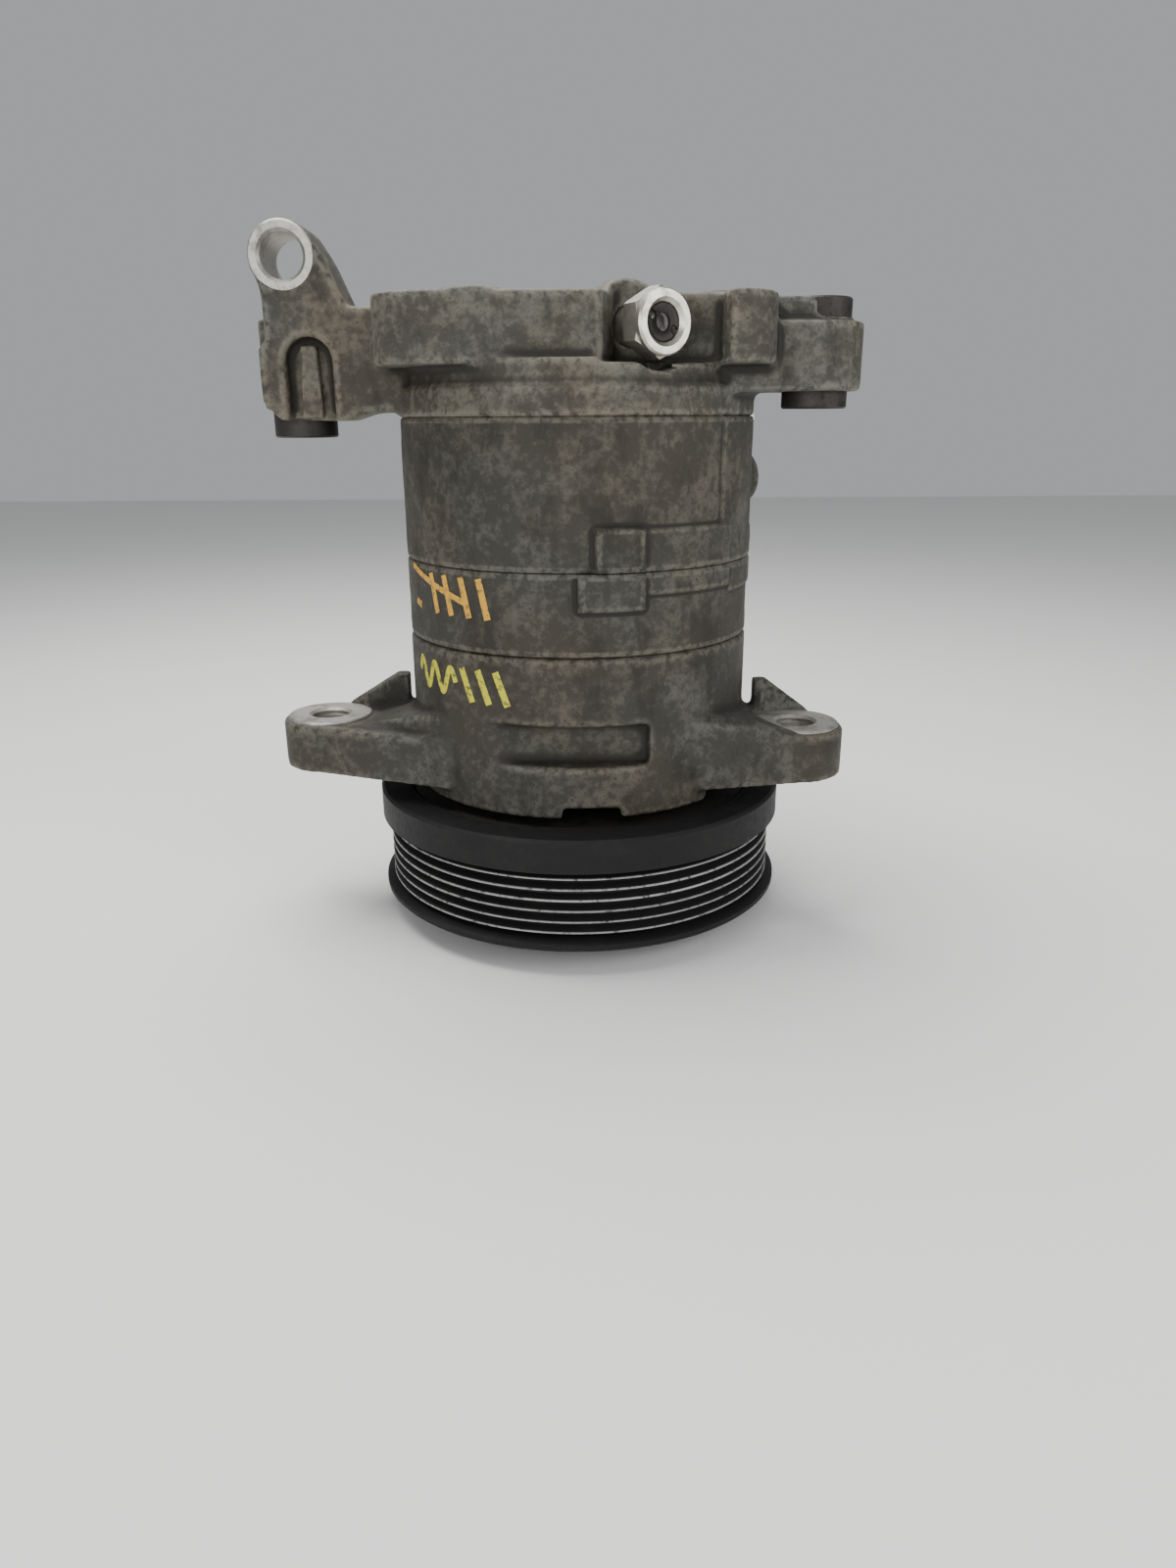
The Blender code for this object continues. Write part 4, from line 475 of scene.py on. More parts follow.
slotLooks = {
    "cast_aluminium": machinedInner, "bright_steel": brightSteel, "dark_steel": oiledSteel,
    "black_paint": blackPaint, "bright_zinc": platedZinc, "brown_polymer": cagePolymer,
    "coil_resin": coilResin, "black_rubber": sealRubber,
}
for entry in frame["record"]["subparts"]:
    node = nodes[entry["node"]]
    node.data.materials.clear()
    node.data.materials.append(slotLooks[entry["material_slot"]])


# cylinder sections: a radius for every angle and height

shellShape = {
    "radius": 55.8,
    "seamChamfer": 0.55,       # groove each side of a seam
    "waviness": 0.16,
    "steps": 480,
    "rowHeight": 0.62,
}


def noiseAt(spot):
    return field.noise(spot) + 0.5 * field.noise(spot * 2.3)


def softStep(value, low, high, soft):
    up = min(1.0, max(0.0, (value - low) / soft + 0.5))
    down = min(1.0, max(0.0, (high - value) / soft + 0.5))
    return up * up * (3 - 2 * up) * down * down * (3 - 2 * down)


def bandSection(name, low, high, raised, inner, look, shape=shellShape):
    # raised: list of (angle from, angle to, z from, z to, height), angles from the front
    mesh = bmesh.new()
    rows = max(3, round((high - low) / shape["rowHeight"]))
    outer = []
    for row in range(rows + 1):
        z = low + (high - low) * row / rows
        edge = min(z - low, high - z)
        chamfer = shape["seamChamfer"] * max(0.0, 1.0 - edge / 0.9) ** 1.5
        loop = []
        for step in range(shape["steps"]):
            turn = 360.0 * step / shape["steps"] - 180.0
            lift = 0.0
            for start, end, bottom, top, height in raised:
                share = softStep(turn, start, end, 1.6) * softStep(z, bottom, top, 1.1)
                lift = max(lift, height * share) if height > 0 else lift + height * share
            a = math.radians(turn)
            spot = Vector((math.sin(a), -math.cos(a), z / 26.0))
            wave = shape["waviness"] * noiseAt(spot * 3.1)
            radius = shape["radius"] + lift - chamfer + wave - shape["waviness"]
            loop.append(mesh.verts.new((radius * math.sin(a), -radius * math.cos(a), z)))
        outer.append(loop)
    rims = []
    for z in (high, low):
        loop = []
        for step in range(shape["steps"]):
            a = math.radians(360.0 * step / shape["steps"] - 180.0)
            loop.append(mesh.verts.new((inner * math.sin(a), -inner * math.cos(a), z)))
        rims.append(loop)
    loops = outer + rims
    for near, far in zip(loops, loops[1:] + loops[:1]):
        for step in range(shape["steps"]):
            after = (step + 1) % shape["steps"]
            mesh.faces.new((near[step], near[after], far[after], far[step]))
    made = toObject(name, mesh, 40.0)
    made.data.materials.append(look)
    made["toneGain"] = 9.0
    return edgeTone(made, 2)


def placeRadial(piece, angle, height):
    # from its own +Z to outward at an angle from +X
    frameAt = Matrix.Translation((0, 0, height * mm)) @ Matrix.Rotation(math.radians(angle), 4, "Z")
    piece.data.transform(frameAt @ Matrix.Rotation(math.radians(90.0), 4, "Y"))
    return piece


fixedScrollShape = {
    "low": 120.6, "high": 162.7,
    "raised": [
        (5.5, 20.5, 119.0, 133.0, 1.7),      # lump over the seam
        (20.0, 56.0, 119.0, 132.5, 0.75),    # raised band, right of the lump
        (56.0, 180.0, 119.0, 130.0, 0.6),
        (-27.0, 14.0, 142.6, 143.4, -0.16),  # faint casting line
        (50.0, 77.0, 119.0, 163.5, 0.55),    # vertical strip
        (-150.0, -100.0, 119.0, 150.0, 0.9),
    ],
    "servicePad": (9.5, 31.0, 8.0, 59.0),    # half width, below, above, face radius
    "serviceBoss": (8.8, 67.5, 142.4),
}


def buildFixedScroll(shape):
    shell = bandSection("fixedShell", shape["low"], shape["high"], shape["raised"], 52.0, castShell)
    half, below, above, face = shape["servicePad"]
    plugHeight = 163.0
    pad = blockOf("servicePad", (-above, -half, 50.0), (below, half, face))
    radius, reach, height = shape["serviceBoss"]
    boss = lathe("serviceBoss", [(0, 48), (radius, 48), (radius, reach - 1.6),
                                 (radius - 1.6, reach), (0, reach)], 48)
    placeRadial(pad, 28.0, plugHeight)
    placeRadial(boss, 28.0, height)
    bossForm = castForm("serviceForm", [pad, boss], 0.7, 3, tools=[rod("padRoom", 56.3, 162.4, 200.0)])
    hole = placeRadial(rod("plugHole", 3.9, 50.0, 70.0, steps=32), 28.0, plugHeight)
    spot = placeRadial(rod("plugSpot", 7.6, face - 0.5, 70.0, steps=48), 28.0, plugHeight)
    carve(bossForm, [hole, spot])
    bossForm.data.materials.clear()
    bossForm.data.materials.append(castShell)
    edgeTone(bossForm)
    core = coreOf("fixed_scroll", 52.3, 110.0, 170.0)
    return merge("fixedScrollCasting", [shell, bossForm, core])


centreShape = {
    "low": 96.3, "high": 120.3,
    "raised": [
        (0.5, 20.5, 109.6, 121.5, 2.0),      # pad under the lump
        (20.0, 56.0, 114.0, 121.5, 0.75),
        (56.0, 180.0, 112.0, 121.5, 0.6),
        (-160.0, -110.0, 100.0, 121.5, 0.8),
    ],
}


fixedScroll = buildFixedScroll(fixedScrollShape)
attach(fixedScroll, "housing")
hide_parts("fixed_scroll")

centreRing = bandSection("centreRing", centreShape["low"], centreShape["high"],
                         centreShape["raised"], 52.0, castShell)
centreHousing = merge("centreHousingCasting", [centreRing, coreOf("centre_housing", 52.3, 90.0, 125.0)])
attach(centreHousing, "housing")
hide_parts("centre_housing")
print("scroll shell and centre housing built")


# front head with its ears

frontShape = {
    "radius": 55.8,
    "low": 46.0, "skirtTop": 62.0, "high": 96.0,
    "lowerBlock": (-50.0, 41.0),             # sides of the block under the pocket
    "pocket": ((-30.0, -62.0, 62.5), (21.5, -48.0, 75.2)),
    "notch": ((-5.0, -62.0, 43.0), (13.0, -46.0, 49.5)),
    "earRadius": 15.5, "earLow": 51.0, "earHigh": 67.0,
    "leftEar": (-84.5, -7.5), "rightEar": (71.2, -20.7),
    "ringRadius": 14.0, "boreRadius": 6.2, "ringTop": 67.8,
    "voxel": 0.85,
}


def hullOf(name, points):
    mesh = bmesh.new()
    for point in points:
        mesh.verts.new(point)
    bmesh.ops.convex_hull(mesh, input=mesh.verts)
    return toObject(name, mesh)


def machinedSleeve(name, centre, ringRadius, boreRadius, low, high, look):
    made = lathe(name, [(boreRadius + 0.9, low), (ringRadius - 0.5, low), (ringRadius, low + 0.5),
                        (ringRadius, high - 0.45), (ringRadius - 0.45, high), (boreRadius + 0.9, high),
                        (boreRadius, high - 0.9), (boreRadius, low + 0.9)], 72, centre)
    made.data.materials.append(look)
    made["toneGain"] = 1.0
    return edgeTone(made, 0)


def buildFrontHead(shape):
    radius = shape["radius"]
    parts = [lathe("frontUpper", [(0, 60), (radius, 60), (radius, shape["high"]), (0, shape["high"])], 120)]
    left, right = shape["lowerBlock"]
    outline = []
    for step in range(90):
        angle = 2 * math.pi * step / 90
        x, y = radius * math.cos(angle), radius * math.sin(angle)
        if y < 14.0:
            x = max(left, min(right, x))
        outline.append((x, y))
    parts.append(prismUp("frontLower", outline, shape["low"], shape["skirtTop"]))
    for sign, ear, label in ((-1, shape["leftEar"], "Left"), (1, shape["rightEar"], "Right")):
        ax, ay = ear
        reach = shape["earRadius"]
        swing = arcPoints(ear, reach, 105, 265, 16) if sign < 0 else arcPoints(ear, reach, -85, 75, 16)
        root = [(-40.0, -41.0), (-40.0, 24.0)] if sign < 0 else [(40.0, 14.0), (36.0, -43.5)]
        parts.append(prismUp("ear" + label, swing + root, shape["earLow"], shape["earHigh"]))
        shoulder = []
        for x, y, z in ((26, -47.5, 75.0), (47, -36.0, 74.2), (70, ay - 13.5, 67.6),
                        (66, ay + 9, 67.4), (40, 10, 74.0)):
            shoulder += [(sign * x, y, z), (sign * x, y, 58.0)]
        parts.append(hullOf("shoulder" + label, shoulder))
        ribFront = ay + 7.5 if sign < 0 else ay + 9.0
        ridge = [(58.6, 60), (58.6, 79.2), (62.5, 79.4), (80 if sign < 0 else 77, 68.6), (83, 60)]
        turned = [(sign * x, z) for x, z in ridge][::sign]
        parts.append(prismBack("rib" + label, turned, ribFront, ribFront + 6.5))
    parts.append(rod("lumpLeft", 4.2, 48.2, 56.0, (-64.0, -14.0), 24))
    parts.append(blockOf("heel", (-20.0, 40.0, 46.5), (20.0, 57.5, 60.0)))
    tools = [blockOf("pocket", *shape["pocket"]), blockOf("notch", *shape["notch"])]
    head = castForm("frontForm", parts, shape["voxel"], 7, tools)
    cuts = [rod("frontRoom", 39.8, 0.0, 120.0, steps=96), rod("flatTop", 70.0, 95.95, 120.0, steps=12)]
    sleeves = []
    for centre, label in ((shape["leftEar"], "Left"), (shape["rightEar"], "Right")):
        cuts.append(rod("sleeveRoom" + label, shape["boreRadius"] + 0.8, 40.0, 90.0, centre, 48))
        cuts.append(rod("ringRoom" + label, shape["ringRadius"] - 0.25, shape["earHigh"] - 0.9,
                        84.0, centre, 64))
        sleeves.append(machinedSleeve("ring" + label, centre, shape["ringRadius"], shape["boreRadius"],
                                      shape["earHigh"] - 1.2, shape["ringTop"], machinedRing))
        sleeves.append(machinedSleeve("bore" + label, centre, shape["boreRadius"] + 1.6, shape["boreRadius"],
                                      shape["earLow"] + 0.1, shape["earHigh"] - 0.8, machinedInner))
    carve(head, cuts)
    head.data.materials.clear()
    head.data.materials.append(castShell)
    head.data.shade_smooth()
    edgeTone(head, 9)
    core = coreOf("front_head", 40.1, 0.0, 110.0)
    return merge("frontHeadCasting", [head, core] + sleeves)


frontHead = buildFrontHead(frontShape)
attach(frontHead, "housing")
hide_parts("front_head")
print("front head built,", len(frontHead.data.polygons), "faces")


# rear head: bar, arms, eye and ports

rearShape = {
    "barLow": 176.5, "barHigh": 195.3,
    "bar": ((-57.0, -49.0), (57.0, 52.0), 14.0),
    "valveBay": [(4.0, -60.0), (11.0, -37.0), (41.0, -37.0), (44.0, -60.0)],
    "bolts": (-91.0, -34.0, 58.0, 101.0, 148.0, 212.0), "boltCircle": 50.3,
    "boltSeat": 5.75, "padRadius": 8.0, "padTop": 196.2,
    "eye": (-84.4, 207.0), "eyeRadius": 10.0, "eyeBore": 6.3,
    "leftBolt": (-84.5, -7.5), "rightBolt": (71.2, -20.7), "bushRoom": 9.9,
    "valveSeat": (19.9, -42.5), "valveHeight": 186.7, "valveTurn": 31.5,
    "portHeight": 186.1, "boltShank": 3.4,
    "voxel": 0.85,
}


def placeValve(piece, shape=rearShape):
    # from its own +Z to the axis of the relief valve
    x, y = shape["valveSeat"]
    at = Matrix.Translation((x * mm, y * mm, shape["valveHeight"] * mm))
    turn = Matrix.Rotation(math.radians(shape["valveTurn"] - 90.0), 4, "Z")
    piece.data.transform(at @ turn @ Matrix.Rotation(math.radians(90.0), 4, "Y"))
    return piece


def buildRearHead(shape):
    lowCorner, highCorner, corner = shape["bar"]
    parts = [prismUp("bar", roundedBox(lowCorner, highCorner, corner), shape["barLow"], shape["barHigh"])]
    parts.append(lathe("flange", [(0, 162.6), (55.8, 162.6), (55.9, 170.4), (55.1, 171.0),
                                  (54.4, 171.3), (54.4, 178), (0, 178)], 120))
    arm = [(-93.0, 206.0), (-91.4, 196.0), (-91.4, 184.2), (-93.6, 182.2), (-93.7, 174.6), (-93.5, 167.0),
           (-90.0, 163.4), (-88.4, 162.1), (-68.8, 161.8), (-62.2, 163.9), (-53.3, 164.5), (-47.3, 169.5),
           (-42.6, 176.4), (-40.0, 178.0), (-40.0, 193.6), (-66.6, 193.6), (-71.9, 205.8), (-74.7, 210.5)]
    parts.append(prismBack("leftArm", arm, -22.0, -3.0))
    disc = arcPoints(shape["eye"], shape["eyeRadius"], 0, 360, 47)[:-1]
    parts.append(prismBack("eyeDisc", disc, -22.0, -2.0))
    parts.append(prismUp("bushBlock", roundedBox((-95.7, -15.0), (-46.0, 6.0), 4.0), 165.0, 191.0))
    ax, ay = shape["rightBolt"]
    end = arcPoints((ax, ay), 13.3, -90, 90, 18)
    parts.append(prismUp("rightArm", end + [(40.0, ay + 20.0), (40.0, ay - 13.3)], 169.4, 188.4))
    boss = arcPoints((ax, ay), 9.6, -90, 90, 14) + [(52.0, ay + 10.5), (52.0, ay - 9.6)]
    parts.append(prismUp("rightBoss", boss, 186.0, 195.0))
    parts.append(blockOf("portBlock", (-24.0, 44.0, 177.2), (24.0, 65.0, 194.7)))
    collar = lathe("valveCollar", [(0, -16), (12.6, -16), (12.6, -9), (10.7, -4), (10.7, 0), (0, 0)], 48)
    parts.append(placeValve(collar))
    for turn in shape["bolts"]:
        a = math.radians(turn - 90.0)
        spot = (shape["boltCircle"] * math.cos(a), shape["boltCircle"] * math.sin(a))
        parts.append(rod("boltPad", shape["padRadius"], 190.0, shape["padTop"], spot, 32))
    parts.append(lathe("capRing", [(21, 190), (27, 190), (26, 196.0), (22, 196.0)], 64))
    arch = arcPoints((-79.0, 178.6), 6.9, 0, 180, 16) + [(-85.9, 155.0), (-72.1, 155.0)]
    tools = [prismUp("valveBay", shape["valveBay"], 176.7, 205.0),
             prismBack("archRecess", arch, -30.0, -17.5),
             blockOf("clearShell", (-60.0, -60.0, 150.0), (60.0, 60.0, 162.5))]
    tools.append(blockOf("capFlat", (-15.0, -15.0, 194.7), (15.0, 15.0, 199.0)))
    head = castForm("rearForm", parts, shape["voxel"], 3, tools)
    column = [(-82.2, 162.6), (-76.0, 162.6), (-76.6, 183.0), (-81.6, 183.0)]
    rib = castForm("archRib", [prismBack("archColumn", column, -20.4, -14.0)], 0.7, 3)
    cuts = [rod("chamberRoom", 24.8, 150.0, 190.6, steps=72)]
    atEye = Matrix.Translation((shape["eye"][0] * mm, 0.0, shape["eye"][1] * mm))
    turnBack = atEye @ Matrix.Rotation(math.radians(90.0), 4, "X")
    for room in (rod("eyeRoom", shape["eyeBore"] + 0.7, -10.0, 30.0, steps=48),
                 rod("eyeFaceFront", 9.3, 21.2, 40.0, steps=64),
                 rod("eyeFaceBack", 9.3, -10.0, 2.8, steps=64)):
        room.data.transform(turnBack)
        cuts.append(room)
    cuts.append(rod("leftBushRoom", shape["bushRoom"], 140.0, 187.4, shape["leftBolt"], 64))
    cuts.append(rod("rightBushRoom", shape["bushRoom"], 140.0, 210.0, shape["rightBolt"], 64))
    for turn in shape["bolts"]:
        a = math.radians(turn - 90.0)
        spot = (shape["boltCircle"] * math.cos(a), shape["boltCircle"] * math.sin(a))
        cuts.append(rod("boltShank", shape["boltShank"], 150.0, 192.0, spot, 24))
        cuts.append(rod("boltSeat", shape["boltSeat"], 189.7, 200.0, spot, 36))
    for x, radius in ((-13.0, 6.5), (13.0, 5.6), (0.0, 2.6)):
        port = rod("portRoom", radius, 30.0 if radius > 3 else 56.0, 80.0, steps=40)
        atPort = Matrix.Translation((x * mm, 0.0, shape["portHeight"] * mm))
        port.data.transform(atPort @ Matrix.Rotation(math.radians(-90.0), 4, "X"))
        cuts.append(port)
    cuts.append(rod("suctionRoom", 4.6, 150.0, 186.0, (-13.0, 36.0), 32))
    cuts.append(blockOf("portFlat", (-30.0, 64.7, 170.0), (30.0, 80.0, 205.0)))
    cuts.append(placeValve(rod("threadRoom", 5.7, -12.3, 5.0, steps=36)))
    cuts.append(placeValve(rod("spotFace", 12.4, -0.35, 8.0, steps=48)))
    carve(head, cuts)
    for form in (head, rib):
        form.data.materials.clear()
        form.data.materials.append(castHead)
        form.data.shade_smooth()
        edgeTone(form)
    core = coreOf("rear_head", 25.1, 150.0, 190.9)
    eyeFront = lathe("eyeFront", [(7.2, 20.6), (9.1, 20.6), (9.6, 21.0), (9.6, 21.6),
                                  (9.2, 22.0), (7.2, 22.0), (6.3, 21.1), (6.3, 20.6)], 72)
    eyeInner = lathe("eyeInner", [(6.3, 2.6), (7.3, 2.0), (9.3, 2.0), (9.3, 3.4),
                                  (7.4, 3.4), (7.4, 20.7), (6.3, 20.7)], 72)
    for ring, look in ((eyeFront, machinedRing), (eyeInner, machinedInner)):
        ring.data.transform(turnBack)
        ring.data.materials.append(look)
        edgeTone(ring, 0)
    return merge("rearHeadCasting", [head, rib, core, eyeFront, eyeInner])


rearHead = buildRearHead(rearShape)
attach(rearHead, "housing")
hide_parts("rear_head")
print("rear head built,", len(rearHead.data.polygons), "faces")


# node trees: a grid or a path, placed by a rule

def startTree(name, inputs):
    tree = bpy.data.node_groups.new(name, "GeometryNodeTree")
    tree.interface.new_socket("Geometry", in_out="OUTPUT", socket_type="NodeSocketGeometry")
    kinds = {"int": "NodeSocketInt", "float": "NodeSocketFloat"}
    ids = {}
    for label, value in inputs.items():
        made = tree.interface.new_socket(label, in_out="INPUT", socket_type=kinds[type(value).__name__])
        ids[label] = made.identifier
    looks = tree.interface.new_socket("Look", in_out="INPUT", socket_type="NodeSocketMaterial")
    ids["Look"] = looks.identifier
    return tree, ids, tree.nodes.new("NodeGroupInput")


def treeNode(tree, kind, inputs=None, **settings):
    node = tree.nodes.new(kind)
    for key, value in settings.items():
        setattr(node, key, value)
    for key, value in (inputs or {}).items():
        socket = node.inputs[key]
        if hasattr(value, "is_linked"):
            tree.links.new(value, socket)
        else:
            socket.default_value = value
    return node


def treeCalc(tree, kind, first, second=0.0):
    return treeNode(tree, "ShaderNodeMath", {0: first, 1: second}, operation=kind).outputs[0]


def treeRange(tree, value, low, high, toLow=0.0, toHigh=1.0):
    ends = {"Value": value, "From Min": low, "From Max": high, "To Min": toLow, "To Max": toHigh}
    return treeNode(tree, "ShaderNodeMapRange", ends).outputs["Result"]


def grow(name, tree, ids, inputs, shape, look):
    # ends the tree, sets its inputs and keeps the result as a plain mesh
    whole = treeNode(tree, "GeometryNodeRealizeInstances", {"Geometry": shape})
    group = [node for node in tree.nodes if node.bl_idname == "NodeGroupInput"][0]
    dressed = treeNode(tree, "GeometryNodeSetMaterial", {"Geometry": whole.outputs["Geometry"]})
    tree.links.new(group.outputs["Look"], dressed.inputs["Material"])
    tree.links.new(dressed.outputs["Geometry"], tree.nodes.new("NodeGroupOutput").inputs[0])
    made = bpy.data.objects.new(name, bpy.data.meshes.new(name + "Seed"))
    bpy.context.collection.objects.link(made)
    change = made.modifiers.new(name, "NODES")
    change.node_group = tree
    for label, value in inputs.items():
        change[ids[label]] = value
    change[ids["Look"]] = look
    bpy.context.view_layer.update()
    grown = bpy.data.meshes.new_from_object(made.evaluated_get(bpy.context.evaluated_depsgraph_get()))
    made.modifiers.clear()
    made.data = grown
    mesh = bmesh.new()
    mesh.from_mesh(grown)
    bmesh.ops.remove_doubles(mesh, verts=mesh.verts, dist=2e-6)
    bmesh.ops.recalc_face_normals(mesh, faces=mesh.faces)
    mesh.to_mesh(grown)
    mesh.free()
    grown.shade_smooth()
    grown.set_sharp_from_angle(angle=math.radians(38.0))
    return made


# pulley

pulleyShape = {
    "Steps": 240, "Rows": 122,
    "Low": 7.9, "High": 44.4,
    "Flange Radius": 69.0, "Ridge Radius": 66.4, "Inner Radius": 59.6,
    "Groove Pitch": 3.56, "First Ridge": 13.2, "Groove Depth": 2.7,
    "Belt Low": 11.0, "Belt High": 33.2,
    "Rounding": 0.9,
    "crestDepth": 0.5,         # how far down the ridges the belt has polished
}


def buildPulley(shape):
    inputs = {label: value for label, value in shape.items() if label != "crestDepth"}
    tree, ids, group = startTree("pulleyRim", inputs)
    given = group.outputs
    grid = treeNode(tree, "GeometryNodeMeshGrid", {"Size X": 1.0, "Size Y": 1.0})
    across = treeCalc(tree, "ADD", given["Rows"], 3.0)
    tree.links.new(treeCalc(tree, "ADD", given["Steps"], 1.0), grid.inputs["Vertices X"])
    tree.links.new(across, grid.inputs["Vertices Y"])
    index = treeNode(tree, "GeometryNodeInputIndex").outputs[0]
    row = treeCalc(tree, "FLOORED_MODULO", index, across)
    turn = treeCalc(tree, "FLOOR", treeCalc(tree, "DIVIDE", treeCalc(tree, "ADD", index, 0.5), across))
    angle = treeCalc(tree, "DIVIDE", treeCalc(tree, "MULTIPLY", turn, 2 * math.pi), given["Steps"])
    last = treeCalc(tree, "SUBTRACT", given["Rows"], 1.0)
    outside = treeCalc(tree, "LESS_THAN", row, treeCalc(tree, "SUBTRACT", given["Rows"], 0.5))
    closing = treeCalc(tree, "GREATER_THAN", row, treeCalc(tree, "ADD", given["Rows"], 1.5))
    share = treeCalc(tree, "DIVIDE", row, last)
    rise = treeRange(tree, share, 0.0, 1.0, given["Low"], given["High"])
    atTop = treeCalc(tree, "LESS_THAN", row, treeCalc(tree, "ADD", given["Rows"], 0.5))
    backRise = treeRange(tree, atTop, 0.0, 1.0, given["Low"], given["High"])
    height = treeRange(tree, outside, 0.0, 1.0, backRise, rise)
    fromRidge = treeCalc(tree, "SUBTRACT", rise, given["First Ridge"])
    along = treeCalc(tree, "DIVIDE", fromRidge, given["Groove Pitch"])
    wave = treeCalc(tree, "ABSOLUTE", treeCalc(tree, "SUBTRACT", treeCalc(tree, "FRACT", along), 0.5))
    ridge = treeRange(tree, wave, 0.06, 0.43)
    cut = treeCalc(tree, "MULTIPLY", treeCalc(tree, "SUBTRACT", 1.0, ridge), given["Groove Depth"])
    belt = treeCalc(tree, "SUBTRACT", given["Ridge Radius"], cut)
    middle = treeCalc(tree, "MULTIPLY", treeCalc(tree, "ADD", given["Belt Low"], given["Belt High"]), 0.5)
    half = treeCalc(tree, "SUBTRACT", given["Belt High"], middle)
    away = treeCalc(tree, "ABSOLUTE", treeCalc(tree, "SUBTRACT", rise, middle))
    flanged = treeRange(tree, away, treeCalc(tree, "SUBTRACT", half, 0.5), treeCalc(tree, "ADD", half, 0.5))
    outer = treeRange(tree, flanged, 0.0, 1.0, belt, given["Flange Radius"])
    nearLow = treeCalc(tree, "SUBTRACT", rise, given["Low"])
    nearHigh = treeCalc(tree, "SUBTRACT", given["High"], rise)
    nearEnd = treeCalc(tree, "MINIMUM", nearLow, nearHigh)
    rounded = treeRange(tree, nearEnd, 0.0, given["Rounding"], given["Rounding"], 0.0)
    outer = treeCalc(tree, "SUBTRACT", outer, rounded)
    closeRadius = treeCalc(tree, "SUBTRACT", given["Flange Radius"], given["Rounding"])
    inner = treeRange(tree, closing, 0.0, 1.0, given["Inner Radius"], closeRadius)
    radius = treeRange(tree, outside, 0.0, 1.0, inner, outer)
    x = treeCalc(tree, "MULTIPLY", radius, treeCalc(tree, "COSINE", angle))
    y = treeCalc(tree, "MULTIPLY", radius, treeCalc(tree, "SINE", angle))
    spot = treeNode(tree, "ShaderNodeCombineXYZ", {"X": x, "Y": y, "Z": height}).outputs[0]
    spot = treeNode(tree, "ShaderNodeVectorMath", {0: spot, 1: (mm, mm, mm)}, operation="MULTIPLY").outputs[0]
    moved = treeNode(tree, "GeometryNodeSetPosition", {"Geometry": grid.outputs["Mesh"], "Position": spot})
    rim = grow("pulleyRim", tree, ids, inputs, moved.outputs["Geometry"], blackPaint)
    tone = rim.data.attributes.new("edge", "FLOAT", "POINT")
    for number, vertex in enumerate(rim.data.vertices):
        reach, height = vertex.co.xy.length / mm, vertex.co.z / mm
        onRidge = shape["Belt Low"] + 1.0 < height < shape["Belt High"] - 1.0
        crest = max(0.0, 1.0 - (shape["Ridge Radius"] - reach) / shape["crestDepth"])
        tone.data[number].value = 0.5 + 0.35 * crest if onRidge else 0.5
    core = coreOf("pulley", 60.9, 7.0, 45.0)
    core.data.materials.clear()
    core.data.materials.append(blackPaint)
    return merge("pulleyWheel", [rim, core])


pulley = buildPulley(pulleyShape)
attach(pulley, "pulley_wheel")
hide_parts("pulley")
print("pulley built,", len(pulley.data.polygons), "faces")


# relief valve and bushes

valveShape = {
    "hexRadius": 9.4, "hexLow": 0.3, "hexHigh": 6.7, "bevel": 0.75,
    "rimRadius": 8.6, "rimHigh": 9.1, "boreRadius": 5.2, "boreFloor": 1.3, "guideRadius": 2.6,
    "threadRadius": 5.4, "threadEnd": -12.0,
    "cageLow": 6.9, "cageHigh": 7.9, "cageBore": 2.3, "cageNotch": 1.15,
}


def buildValveBody(shape):
    corners = arcPoints((0, 0), shape["hexRadius"], 0, 300, 5)
    hexagon = prismUp("valveHex", corners, shape["hexLow"], shape["hexHigh"])
    reach, bevel = shape["hexRadius"], shape["bevel"]
    ends = lathe("valveBevel", [(0, shape["hexLow"]), (reach - bevel, shape["hexLow"]),
                                (reach, shape["hexLow"] + bevel * 0.7),
                                (reach, shape["hexHigh"] - bevel * 0.7),
                                (reach - bevel, shape["hexHigh"]), (0, shape["hexHigh"])], 96)
    carve(hexagon, [ends], "INTERSECT")
    rim = lathe("valveRim", [(0, 5.0), (8.3, 5.0), (shape["rimRadius"], 7.2), (shape["rimRadius"], 8.5),
                             (8.1, shape["rimHigh"]), (0, shape["rimHigh"])], 96)
    thread = lathe("valveThread", [(0, shape["threadEnd"]), (4.9, shape["threadEnd"]),
                                   (shape["threadRadius"], shape["threadEnd"] + 0.6),
                                   (shape["threadRadius"], 0.8), (0, 0.8)], 64)
    carve(hexagon, [rim, thread], "UNION")
    bore = lathe("valveBore", [(0, shape["boreFloor"]), (shape["boreRadius"], shape["boreFloor"]),
                               (shape["boreRadius"], 7.95), (shape["boreRadius"] + 1.1, 9.15), (0, 9.3)], 72)
    carve(hexagon, [bore, rod("valveGuide", shape["guideRadius"], -20.0, 3.0)])
    hexagon.data.materials.clear()
    hexagon.data.materials.append(platedZinc)
    hexagon.data.set_sharp_from_angle(angle=math.radians(28.0))
    return placeValve(hexagon)


def buildCage(shape):
    disc = lathe("cageDisc", [(0, shape["cageLow"]), (4.9, shape["cageLow"]), (4.9, shape["cageHigh"] - 0.2),
                              (4.7, shape["cageHigh"]), (0, shape["cageHigh"])], 64)
    holes = [rod("cageHole", shape["cageBore"], 5.0, 9.0, steps=40)]
    for turn in (62.0, 242.0):
        a = math.radians(turn)
        spot = (3.9 * math.cos(a), 3.9 * math.sin(a))
        holes.append(rod("cageNotch", shape["cageNotch"], 5.0, 9.0, spot, 20))
    carve(disc, holes)
    disc.data.materials.clear()
    disc.data.materials.append(oiledSteel)
    return placeValve(disc)


